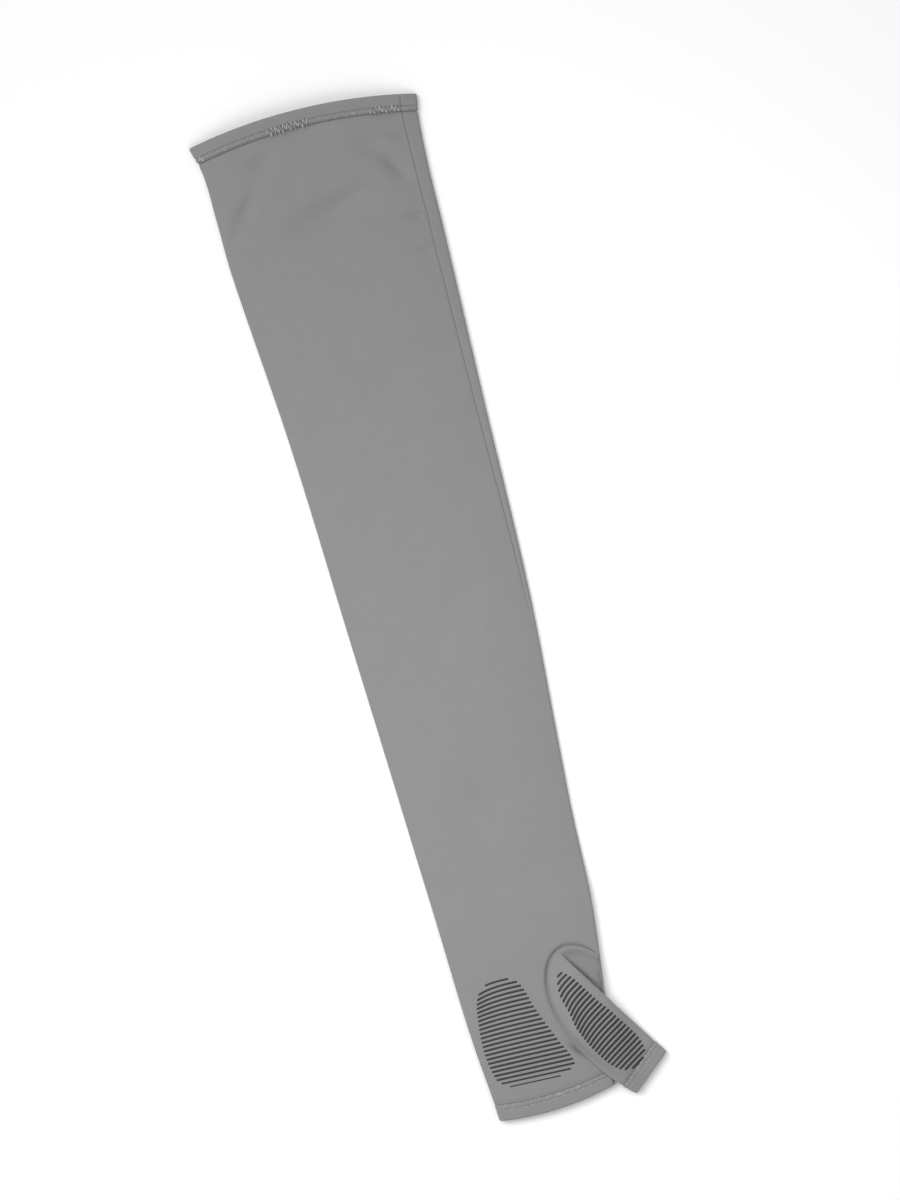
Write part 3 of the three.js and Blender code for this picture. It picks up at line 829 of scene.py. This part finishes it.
def made_of(name, finish, looks, **more):
    """The material of that name. It is made once: its finish adds nodes and gives the shader's inputs."""
    material = bpy.data.materials.get(name)
    if material is None:
        material = bpy.data.materials.new(name)
        material.use_nodes = True
        tree = material.node_tree
        tree.nodes.clear()
        shader = add_node(tree, "BsdfPrincipled", {})
        add_node(tree, "OutputMaterial", {"Surface": shader})
        place = add_node(tree, "TexCoord", {}).outputs["Object"]
        set_inputs(tree, shader, finish(tree, place, looks, **more))
    return material


def jersey_knit(tree, place, looks, grain):
    """Polyester and elastane single jersey, circular-knitted and piece-dyed grey. The eye sees a dull,
    even cloth with a faint sheen, fine ribs along the wales and a slightly cloudy dye."""
    # Wales of such a jersey are 0.6 mm apart: the pitch given is coarser, so that they show. Each is a
    # rib with the slanted legs of its loops on it.
    pitch = looks.knit_pitch
    turned = {"Vector": place, "Rotation": (0, 0, grain)}
    loops = add_node(tree, "Mapping", {**turned, "Scale": (1 / pitch,) * 3})
    axes = add_node(tree, "SeparateXYZ", {"Vector": loops})
    wale = add_node(tree, "Math", {0: axes.outputs["X"], 1: 0.5}, operation="PINGPONG")
    slant = 1.6
    leg = add_node(tree, "Math", {0: wale, 1: slant, 2: axes.outputs["Y"]}, operation="MULTIPLY_ADD")
    round_leg = add_node(tree, "Math", {0: leg, 1: math.tau}, operation="MULTIPLY")
    leg_height = add_node(tree, "Math", {0: round_leg}, operation="SINE")
    rib = add_node(tree, "Math", {0: wale, 1: 2.0}, operation="MULTIPLY")
    leg_share = 0.35
    height = add_node(tree, "Math", {0: leg_height, 1: leg_share, 2: rib}, operation="MULTIPLY_ADD")
    bump = add_node(tree, "Bump", {"Height": height, "Strength": 0.16, "Distance": 0.16 * pitch})
    # Cloudy dye in patches, and streaks along the yarn
    patch = 9 * MM
    streak_width, streak_length = 2 * MM, 40 * MM
    streak_share = 0.3
    clouds = {"Vector": place, "Scale": 1 / patch, "Detail": 4.0, "Roughness": 0.6}
    cloud = add_node(tree, "TexNoise", clouds)
    scale = (1 / streak_width, 1 / streak_length, 1 / streak_width)
    streaks = add_node(tree, "Mapping", {**turned, "Scale": scale})
    streak = add_node(tree, "TexNoise", {"Vector": streaks, "Scale": 1.0, "Detail": 2.0})
    dye = add_node(tree, "Math", {0: streak, 1: streak_share, 2: cloud}, operation="MULTIPLY_ADD")
    tone = add_node(tree, "MapRange", {"Value": dye, "From Min": 0.35, "From Max": 0.95})
    tones = {6: (*looks.knit_dark, 1), 7: (*looks.knit_light, 1)}
    colour = add_node(tree, "Mix", {0: tone, **tones}, data_type="RGBA")
    return {
        "Base Color": colour.outputs[2],
        "Normal": bump,
        "Roughness": 0.82,
        "IOR": 1.54,
        "Specular IOR Level": 0.3,
        "Sheen Weight": 0.12,
        "Sheen Roughness": 0.45,
    }


def sewing_thread(tree, place, looks):
    """Textured polyester sewing thread, two plies twisted together. The eye sees a fine cord, a shade
    lighter than the knit, with a soft twist across it whose shade and highlight are painted into its
    colour."""
    # Plies twist once in about 0.5 mm: here a radian takes 1 mm, so that the twist shows. The wave that
    # is used has ten radians in a unit along each axis.
    radian = 1 * MM
    wave = {"Vector": place, "Scale": 1 / (10 * radian), "Distortion": 2.0}
    twist = add_node(tree, "TexWave", wave, bands_direction="DIAGONAL")
    # Painted shade and painted highlight: the twist's hollows are painted darker and its crowns lighter, as
    # the thread has no bump. Its own colour lies between the two tones.
    tones = {6: (*looks.thread_painted_shade, 1), 7: (*looks.thread_painted_highlight, 1)}
    colour = add_node(tree, "Mix", {0: twist.outputs["Fac"], **tones}, data_type="RGBA")
    return {"Base Color": colour.outputs[2], "Roughness": 0.6, "IOR": 1.54, "Sheen Weight": 0.1}


def printed_silicone(tree, place, looks):
    """Silicone rubber, screen-printed on the knit in stripes and cured. The eye sees dark, satin
    ridges with rounded shoulders and a slightly uneven print."""
    # Uneven print in patches, and the knit's grit showing through
    patch, grain = 3 * MM, 0.5 * MM
    patches = add_node(tree, "TexNoise", {"Vector": place, "Scale": 1 / patch, "Detail": 3.0})
    grit = add_node(tree, "TexNoise", {"Vector": place, "Scale": 1 / grain, "Detail": 1.0})
    tones = {6: (*looks.grip_dark, 1), 7: (*looks.grip_light, 1)}
    colour = add_node(tree, "Mix", {0: patches, **tones}, data_type="RGBA")
    bump = add_node(tree, "Bump", {"Height": grit, "Strength": 0.2, "Distance": 0.1 * MM})
    return {
        "Base Color": colour.outputs[2],
        "Normal": bump,
        "Roughness": 0.6,
        "IOR": 1.41,
        "Specular IOR Level": 0.35,
    }


def studio_paper(tree, place, looks):
    """Matte white studio paper. The eye sees an even, almost white floor with no gloss."""
    tooth = 1 * MM
    grain = add_node(tree, "TexNoise", {"Vector": place, "Scale": 1 / tooth, "Detail": 2.0})
    bump = add_node(tree, "Bump", {"Height": grain, "Strength": 0.03, "Distance": 0.05 * MM})
    return {
        "Base Color": (*looks.floor, 1),
        "Normal": bump,
        "Roughness": 0.95,
        "Specular IOR Level": 0.1,
    }


def length_prop(name, description, millimetres, low=0.0, high=50.0):
    """A length that a user may change, shown in Blender's own units."""
    return FloatProperty(
        name=name,
        description=description,
        default=millimetres * MM,
        min=low * MM,
        max=high * MM,
        precision=5,
        subtype="DISTANCE",
        unit="LENGTH",
    )


def colour_prop(name, description, hex_colour):
    """A colour that a user may change, from its sRGB hex value."""
    return FloatVectorProperty(
        name=name, description=description, default=linear(hex_colour), min=0, max=1, subtype="COLOR"
    )


class ArmSleeveSizes(bpy.types.PropertyGroup):
    """Sizes of the sleeve's finish"""

    ripple: length_prop("Ripple height", "Height of the soft waves in the loose cloth", 0.16)
    groove: length_prop("Stitch groove", "How deep the stitches pull into a hem", 0.7)
    stitch: length_prop("Stitch length", "From one stitch of a hem to the next", 2.4, 0.5)
    thread: length_prop("Thread diameter", "Sewing thread, drawn thick enough to show", 0.42, 0.1)
    stripe_width: length_prop("Stripe width", "Width of a printed grip stripe", 1.2, 0.2)
    stripe_height: length_prop("Stripe height", "How far a grip stripe stands over the knit", 0.35, 0.05)
    seed: IntProperty(name="Stitch seed", description="Seed of the stitches' unevenness", default=4, min=0)


class ArmSleeveLooks(bpy.types.PropertyGroup):
    """Colours of the sleeve, and the scale of its knit"""

    knit_pitch: length_prop("Knit pitch", "From wale to wale, drawn coarse enough to show", 1.2, 0.2)
    knit_dark: colour_prop("Knit, dark", "Darker patches of the knit's dye", "7d7d7d")
    knit_light: colour_prop("Knit, light", "Lighter patches of the knit's dye", "808080")
    # The thread's two tones are painted shade in the twist's hollows and painted highlight on its crowns.
    thread_painted_shade: colour_prop("Thread, dark", "Hollows of the thread's twist", "8c8c8c")
    thread_painted_highlight: colour_prop("Thread, light", "Crowns of the thread's twist", "b6b6b6")
    grip_dark: colour_prop("Grip, dark", "Thick places of the printed grip", "28282a")
    grip_light: colour_prop("Grip, light", "Thin places of the printed grip", "343436")
    floor: colour_prop("Floor", "Studio paper under the sleeve", "f2f2f2")


def sizes_of(context):
    return context.scene.arm_sleeve_sizes


def looks_of(context):
    return context.scene.arm_sleeve_looks


def plain_knit(context):
    return made_of("polyester jersey knit", jersey_knit, looks_of(context), grain=0.0)


def thumb_knit(context):
    grain = THUMB_TIP["turn"]
    return made_of("polyester jersey knit, thumb", jersey_knit, looks_of(context), grain=grain)


def hem_thread(context):
    return made_of("textured polyester thread", sewing_thread, looks_of(context))


def needle_rows(depth):
    """Distances from a hem's folded edge to its two rows of stitches."""
    return [depth - inset for inset in NEEDLE_ROWS]


def hem_relief(distance, depth, groove):
    """How far a hem's outside stands over its plain surface, by the distance from its folded edge."""
    return -groove * sum(bell(distance - row, GROOVE_WIDTH) for row in needle_rows(depth))


def hem_section(depth, wall, groove):
    """Distances from the folded edge and offsets from the cloth's middle, once round a hem's section."""
    radius = wall / 2
    outside = np.linspace(depth, radius, int((depth - radius) / GROOVE_WIDTH * 2))
    nose = np.linspace(math.pi / 2, -math.pi / 2, HEM_NOSE_STEPS)[1:-1]
    inside = np.linspace(radius, depth, HEM_INSIDE_STEPS)
    distance = np.concatenate([outside, radius * (1 - np.cos(nose)), inside])
    outer = radius + hem_relief(outside, depth, groove)
    return distance, np.concatenate([outer, radius * np.sin(nose), np.full(len(inside), -radius)])


def back_outline(start, end, inset):
    """Outline of a stretch of the back between two places, drawn in from the sleeve's edges."""
    share = np.linspace(-1, 1, WINDOW_STEPS + 1)
    along = np.linspace(start, end, WINDOW_STEPS + 1)[1:-1]

    def points(at, side):
        at, side = np.broadcast_arrays(at, side)
        x = lerp(left_edge(at) + inset, right_edge(at) - inset, (side + 1) / 2)
        return np.column_stack([x, line_at(at, x)])

    sides = [points(start, share), points(along, 1.0), points(end, share[::-1]), points(along[::-1], -1.0)]
    return np.concatenate(sides)


class ARMSLEEVE_OT_tube(bpy.types.Operator):
    """Arm and palm in one knitted tube, with the thumb's armhole"""

    bl_idname = "arm_sleeve.tube"
    bl_label = "Sleeve Tube"

    def execute(self, context):
        sizes = sizes_of(context)
        start = CUFF_END + CUFF_HEM_DEPTH + SEAM_GAP
        end = UPPER_END - UPPER_HEM_DEPTH - SEAM_GAP
        stretches = (
            (end, UPPER_FOLDS, UPPER_STEP),
            (UPPER_FOLDS, HAND_TOP, ARM_STEP),
            (HAND_TOP, start, HAND_STEP),
        )
        rings = [np.linspace(a, b, int((a - b) / step), endpoint=False) for a, b, step in stretches]
        places = np.append(np.concatenate(rings), start)
        inner = np.append(places[:-1:INNER_SPARING], places[-1])[::-1]
        pulled = sum(hem.groove * bell(places - at, SLEEVE_PULL) for hem, at in zip(HEMS, (end, start)))
        outside = WALL / 2 - sizes.groove / MM * pulled
        walls = ((places, outside[:, None]), (inner, -WALL / 2))
        rings = [
            sleeve_point(at[:, None], loop_turns(), offset, TUBE, sizes.ripple / MM) for at, offset in walls
        ]
        piece = mesh_object("sleeve_tube_knit", ring_band(np.concatenate(rings)), plain_knit(context))
        middle = BACK_LIFT + WALL / 2 + FOLD_RADIUS
        rim = np.linspace(0, math.tau, ARMHOLE_STEPS, endpoint=False)
        armhole = np.column_stack(armhole_point(rim, ARMHOLE_GAP))
        window = back_outline(CUFF_END - CUFF_HEM_DEPTH, BACK_END, SEAM_MARGIN)
        cut(piece, (window, -WALL, middle), (armhole, middle, middle + 4 * THUMB_RISE))
        dress(piece, "knit", "sleeve_tube")
        return {"FINISHED"}


class ARMSLEEVE_OT_hems(bpy.types.Operator):
    """Turned hems at the upper arm and at the fingers"""

    bl_idname = "arm_sleeve.hems"
    bl_label = "End Hems"

    def execute(self, context):
        sizes = sizes_of(context)
        for hem in HEMS:
            distance, offset = hem_section(hem.depth, hem.layer.wall, hem.groove * sizes.groove / MM)
            at = hem.end + hem.inward * distance
            rings = sleeve_point(at[:, None], loop_turns(), offset[:, None], hem.layer, sizes.ripple / MM)
            piece = mesh_object(f"{hem.node}_knit", ring_band(rings), plain_knit(context))
            dress(piece, "knit", hem.node)
        return {"FINISHED"}


class ARMSLEEVE_OT_hand_cover(bpy.types.Operator):
    """Hand cover behind the palm, with its hemmed free edge across the wrist"""

    bl_idname = "arm_sleeve.hand_cover"
    bl_label = "Hand Cover"

    def execute(self, context):
        hem_start = COVER_END - COVER_HEM_DEPTH
        panels = (
            ("hand_cover", CUFF_END + CUFF_HEM_DEPTH + SEAM_GAP, hem_start - SEAM_GAP, WALL),
            ("hand_cover_hem", hem_start, COVER_END, HEM_WALL),
        )
        for node, start, end, wall in panels:
            rows = max(int((end - start) / COVER_STEP), COVER_LEAST_ROWS)
            across = np.sin(np.linspace(-math.pi / 2, math.pi / 2, COVER_COLUMNS))
            at, share = np.broadcast_arrays(np.linspace(start, end, rows)[:, None], across)
            x = lerp(left_edge(at), right_edge(at), (share + 1) / 2)
            y = line_at(at, x)
            from_side = (right_edge(at) - left_edge(at)) / 2 * (1 - np.abs(share))
            curl = (BACK_LIFT - wall) * (1 - smooth(from_side / COVER_CURL))
            from_edge = np.minimum(from_side, np.minimum(at - start, end - at) + wall / 2)
            thick = wall * rounded(from_edge, wall / 2, COVER_THIN)
            top, bottom = [np.stack([x, y, wall / 2 + curl + side * thick / 2], -1) for side in (1, -1)]
            piece = mesh_object(f"{node}_knit", plate(top, bottom), plain_knit(context))
            dress(piece, "knit", node)
        return {"FINISHED"}


class ARMSLEEVE_OT_thumb(bpy.types.Operator):
    """Cone of knit for the thumb, sewn into the armhole, and the hem at its open tip"""

    bl_idname = "arm_sleeve.thumb"
    bl_label = "Thumb"

    def execute(self, context):
        groove = THUMB_GROOVE * sizes_of(context).groove / MM
        turns = thumb_turns()
        reach = thumb_reach(turns)
        hem_start = 1 - (THUMB_HEM_DEPTH + SEAM_GAP) / reach
        near_seam = THUMB_SEAM_PART * np.linspace(0, 1, THUMB_SEAM_RINGS) ** THUMB_SEAM_CROWDING
        share = np.concatenate([near_seam, np.linspace(THUMB_SEAM_PART, 1, THUMB_RINGS)[1:]])
        along = share[:, None] * hem_start
        outside = WALL / 2 - groove * bell((hem_start - along) * reach, THUMB_PULL)
        inner = np.concatenate([along[:0:-2], along[:1]])
        walls = ((along, outside), (inner, -WALL / 2))
        rings = np.concatenate([thumb_surface(place, turns, offset) for place, offset in walls])
        tube = mesh_object("thumb_tube_knit", ring_band(rings), thumb_knit(context))
        dress(tube, "knit", "thumb_tube")

        distance, offset = hem_section(THUMB_HEM_DEPTH, HEM_WALL, groove)
        rings = thumb_surface(1 - distance[:, None] / reach, turns, offset[:, None])
        hem = mesh_object("thumb_hem_knit", ring_band(rings), thumb_knit(context))
        dress(hem, "knit", "thumb_hem")
        return {"FINISHED"}


def sideways(tangent, normals):
    """Unit vectors across a line on the cloth."""
    side = np.cross(tangent, normals)
    return side / np.linalg.norm(side, axis=1, keepdims=True)


def stripe_bar(points, normals, width, height):
    """A low ridge with round shoulders and ends along a row of points on the cloth."""
    side = sideways(np.gradient(points, axis=0), normals)
    travel = travel_along(points)
    full = rounded(np.minimum(travel, travel[-1] - travel), width / 2, STRIPE_THIN)
    angle = np.linspace(0, math.pi, STRIPE_ROUND)
    across = np.concatenate([np.cos(angle), [-STRIPE_FOOT, STRIPE_FOOT]]) * width / 2
    up = np.concatenate([np.sin(angle) ** STRIPE_CROWN * height, [-STRIPE_SINK, -STRIPE_SINK]])
    rings = (
        points[:, None]
        + side[:, None] * (across * full[:, None])[..., None]
        + normals[:, None] * np.where(up > 0, up * full[:, None], up)[..., None]
    )
    return capped_bar(rings)


def stripe_row(outline, at):
    """Places of the points along a stripe, and how far each runs on with the cloth at its low end."""
    low, high, droop = [float(column_curve(outline, column)(at)) for column in ("low", "high", "droop")]
    share = np.linspace(0, 1, max(int((high - low) / STRIPE_STEP), STRIPE_LEAST))
    ends = np.array(STRIPE_ENDS) * min(1.0, STRIPE_SHORT / max(high - low, 1))
    share = np.unique(np.concatenate([share, ends, 1 - ends]))
    return lerp(low, high, share), droop * (1 - share) ** 3, (low + high) / 2


def palm_stripe(outline, at, sizes):
    x, droop, middle = stripe_row(outline, at)
    y = at + (x - middle) * math.tan(PALM_STRIPE_TURN) - droop
    z = palm_top(x, y, sizes.ripple / MM)
    return np.column_stack([x, y, z]), np.tile([0.0, 0.0, 1.0], (len(x), 1))


def thumb_stripe(outline, at, _sizes):
    across, droop, middle = stripe_row(outline, at)
    along = at + droop
    cos, sin = math.cos(THUMB_STRIPE_TURN), math.sin(THUMB_STRIPE_TURN)
    x = THUMB_GRIP_AT[0] + across * cos + along * sin
    y = THUMB_GRIP_AT[1] + across * sin - along * cos
    place = thumb_place(x, y)
    return thumb_surface(*place, WALL / 2), thumb_normal(*place)


class ARMSLEEVE_OT_grips(bpy.types.Operator):
    """Printed rubber stripes on the palm and on the thumb"""

    bl_idname = "arm_sleeve.grips"
    bl_label = "Printed Grips"

    def execute(self, context):
        sizes = sizes_of(context)
        rubber = made_of("screen-printed silicone", printed_silicone, looks_of(context))
        grips = (
            ("palm_grip", PALM_STRIPES, PALM_GRIP, palm_stripe),
            ("thumb_grip", THUMB_STRIPES, THUMB_GRIP, thumb_stripe),
        )
        for name, count, outline, stripe in grips:
            wide = column_curve(outline, "width")
            parts = []
            for at in np.linspace(outline["at"][0], outline["at"][-1], count):
                width = wide(at) * sizes.stripe_width / MM
                parts.append(stripe_bar(*stripe(outline, at, sizes), width, sizes.stripe_height / MM))
            piece = mesh_object(f"{name}_print", joined(parts), rubber)
            dress(piece, "grip", *[f"{name}_{i + 1:02d}" for i in range(count)])
        return {"FINISHED"}


def thread_loop(points, normals, radius):
    """A closed thread along a row of points on the cloth, clear of the floor."""
    radius = np.broadcast_to(radius, len(points))
    points[:, 2] = np.maximum(points[:, 2], radius)
    side = sideways(np.roll(points, -1, 0) - np.roll(points, 1, 0), normals)
    angle = np.arange(THREAD_SIDES) / THREAD_SIDES * math.tau
    ways = side[:, None] * np.cos(angle)[:, None] + normals[:, None] * np.sin(angle)[:, None]
    return ring_band(points[:, None] + radius[:, None, None] * ways)


def slack_at(x, stretches):
    """How loose a hem's looper thread lies at x."""
    slack = np.zeros_like(x)
    for start, end, amount in zip(*stretches.values()):
        slack = slack + amount * ramp(x, start, LOOSE_EASE) * smooth((end - x) / LOOSE_EASE)
    return slack


def coverstitch(surface, slack_of, ring, depth, groove, sizes, chance):
    """Two needle rows and the looper's zigzag between them. The surface gives points and normals by the
    turn round the hem, the distance from its edge and the height over its knit, and the ring gives turns
    with the distance that each lies along the hem. A loose looper thread stands over the knit and reaches
    past both rows."""
    radius = sizes.thread / MM / 2
    ring_turns, travel = ring
    count = int(travel[-1] / (sizes.stitch / MM))
    share = np.arange(count * STITCH_SAMPLES) / (count * STITCH_SAMPLES)
    turns = np.interp(share * travel[-1], travel, ring_turns)
    phase = math.tau * share * count
    uneven = np.repeat(chance.normal(0, 1, count), STITCH_SAMPLES)
    rows = needle_rows(depth)
    middle, wave = NEEDLE_HEIGHT
    needle = radius * (middle + wave * np.cos(phase)) - groove
    parts = [thread_loop(*surface(turns, row + NEEDLE_WANDER * uneven, needle), radius) for row in rows]

    slack = slack_of(turns)
    loose = np.maximum(slack, 0)
    past = loose * (LOOSE_REACH[0] + LOOSE_REACH[1] * uneven)
    zigzag = np.arcsin(ZIGZAG * np.sin(phase)) / math.asin(ZIGZAG)
    distance = lerp(rows[0] - past, rows[1] + past, 0.5 + 0.5 * zigzag) + LOOPER_WANDER * uneven
    middle, rough = LOOPER_HEIGHT
    flat = radius * (middle + rough * uneven) + hem_relief(distance, depth, groove) + np.minimum(slack, 0)
    middle, wave, rough = LOOSE_HEIGHT
    raised = radius * (middle + wave * np.cos(2 * phase) + rough * np.abs(uneven))
    looper = surface(turns, distance, lerp(flat, raised, loose))
    parts.append(thread_loop(*looper, radius * lerp(*LOOPER_RADII, loose)))
    return joined(parts)


class ARMSLEEVE_OT_stitches(bpy.types.Operator):
    """Rows of stitches that hold the hems"""

    bl_idname = "arm_sleeve.stitches"
    bl_label = "Hem Stitches"

    def execute(self, context):
        sizes = sizes_of(context)
        chance = np.random.default_rng(sizes.seed)
        for hem in HEMS:
            row = hem.end + hem.inward * needle_rows(hem.depth)[0]

            def hem_surface(turns, distance, height, hem=hem):
                at = hem.end + hem.inward * distance
                offset = hem.layer.wall / 2 + height
                low = sleeve_point(at, turns, offset, hem.layer, sizes.ripple / MM)
                high = sleeve_point(at, turns, offset + WALL / 10, hem.layer, sizes.ripple / MM)
                return low, (high - low) / np.linalg.norm(high - low, axis=1, keepdims=True)

            def hem_slack(turns, hem=hem, row=row):
                x = sleeve_point(row, turns, 0.0, hem.layer, 0.0)[:, 0]
                return slack_at(x, hem.loose) * (turns < 1)

            turns = np.linspace(0, 4, RING_SAMPLES + 1)
            ring = turns, travel_along(sleeve_point(row, turns, hem.layer.wall / 2, hem.layer, 0.0))
            groove = hem.groove * sizes.groove / MM
            shape = coverstitch(hem_surface, hem_slack, ring, hem.depth, groove, sizes, chance)
            dress(mesh_object(f"{hem.node}_thread", shape, hem_thread(context)), "knit")

        def thumb_hem_place(turns, distance):
            return 1 - distance / thumb_reach(turns), turns

        def thumb_hem_surface(turns, distance, height):
            place = thumb_hem_place(turns, distance)
            return thumb_surface(*place, HEM_WALL / 2 + height), thumb_normal(*place)

        def thumb_hem_slack(turns):
            return np.full(len(turns), THUMB_SLACK)

        turns = np.linspace(0, math.tau, THUMB_RING_SAMPLES + 1)
        row = thumb_hem_place(turns, needle_rows(THUMB_HEM_DEPTH)[0])
        ring = turns, travel_along(thumb_surface(*row, HEM_WALL / 2))
        hem = THUMB_HEM_DEPTH, THUMB_GROOVE * sizes.groove / MM
        shape = coverstitch(thumb_hem_surface, thumb_hem_slack, ring, *hem, sizes, chance)
        dress(mesh_object("thumb_hem_thread", shape, hem_thread(context)), "knit")
        return {"FINISHED"}


def area_light(name, place, target, size, power):
    light = bpy.data.lights.new(name, "AREA")
    light.shape = "SQUARE"
    light.size = size
    light.energy = power
    lamp = bpy.data.objects.new(name, light)
    lamp.location = place
    lamp.rotation_euler = (Vector(target) - Vector(place)).to_track_quat("-Z", "Y").to_euler()
    bpy.context.scene.collection.objects.link(lamp)


class ARMSLEEVE_OT_stage(bpy.types.Operator):
    """Pale floor, soft studio light and the camera straight above"""

    bl_idname = "arm_sleeve.stage"
    bl_label = "Stage"

    def execute(self, context):
        scene = context.scene
        corners = [(-1, -1), (1, -1), (1, 1), (-1, 1)]
        points = [(x * FLOOR_REACH, y * FLOOR_REACH, -FLOOR_DROP) for x, y in corners]
        mesh = bpy.data.meshes.new("floor")
        mesh.from_pydata(points, [], [range(4)])
        paper = made_of("matte studio paper", studio_paper, looks_of(context))
        shaded_object("floor", mesh, paper)

        world = bpy.data.worlds.new("studio")
        world.use_nodes = True
        background = world.node_tree.nodes["Background"]
        set_inputs(world.node_tree, background, {"Color": (1, 1, 1, 1), "Strength": WORLD_STRENGTH})
        scene.world = world
        for softbox in SOFTBOXES:
            area_light(*softbox)
        scene.view_settings.view_transform = "Standard"

        lens = bpy.data.cameras.new("camera")
        lens.sensor_fit = "AUTO"
        lens.sensor_width = SENSOR
        frame_height = PHOTO_SIZE[1] * PHOTO_MM_PER_PIXEL * MM
        lens.lens = SENSOR * CAMERA_HEIGHT / frame_height
        camera = bpy.data.objects.new("camera", lens)
        camera.location = (CAMERA_OVER[0] * MM, CAMERA_OVER[1] * MM, CAMERA_HEIGHT)
        camera.rotation_euler = (0, 0, CAMERA_TURN)
        scene.collection.objects.link(camera)
        scene.camera = camera
        return {"FINISHED"}


class ARMSLEEVE_PT_panel(bpy.types.Panel):
    """The sleeve's pieces and settings"""

    bl_idname = "ARMSLEEVE_PT_panel"
    bl_label = "Arm Sleeve"
    bl_space_type = "VIEW_3D"
    bl_region_type = "UI"
    bl_category = "Arm Sleeve"

    def draw(self, context):
        layout = self.layout
        for operator in OPERATORS:
            layout.operator(operator.bl_idname)
        for group in (sizes_of(context), looks_of(context)):
            for name in group.__annotations__:
                layout.prop(group, name)


OPERATORS = (
    ARMSLEEVE_OT_stage,
    ARMSLEEVE_OT_tube,
    ARMSLEEVE_OT_hems,
    ARMSLEEVE_OT_hand_cover,
    ARMSLEEVE_OT_thumb,
    ARMSLEEVE_OT_grips,
    ARMSLEEVE_OT_stitches,
)
CLASSES = (ArmSleeveSizes, ArmSleeveLooks, *OPERATORS, ARMSLEEVE_PT_panel)


def register():
    for each in CLASSES:
        bpy.utils.register_class(each)
    bpy.types.Scene.arm_sleeve_sizes = PointerProperty(type=ArmSleeveSizes)
    bpy.types.Scene.arm_sleeve_looks = PointerProperty(type=ArmSleeveLooks)


def unregister():
    del bpy.types.Scene.arm_sleeve_looks
    del bpy.types.Scene.arm_sleeve_sizes
    for each in reversed(CLASSES):
        bpy.utils.unregister_class(each)


def declare_cloth():
    """Works out the sleeve's girth along its length, the armhole's rim and the thumb's cloth, and leaves
    them unused.
    """
    places = np.linspace(CUFF_END, UPPER_END, GIRTH_SAMPLES)
    girth = 2 * (right_edge(places) - left_edge(places))
    rim = np.column_stack(armhole_point(np.linspace(0, math.tau, RIM_SAMPLES)))
    share, turns = np.linspace(0, 1, THUMB_SAMPLES[0]), np.linspace(0, math.tau, THUMB_SAMPLES[1])
    cloth = thumb_point(share[:, None] * (1 - THUMB_HEM_DEPTH / thumb_reach(turns)), turns)


def main():
    register()
    for operator in OPERATORS:
        group, name = operator.bl_idname.split(".")
        getattr(getattr(bpy.ops, group), name)()
    declare_cloth()


if __name__ == "__main__":
    main()
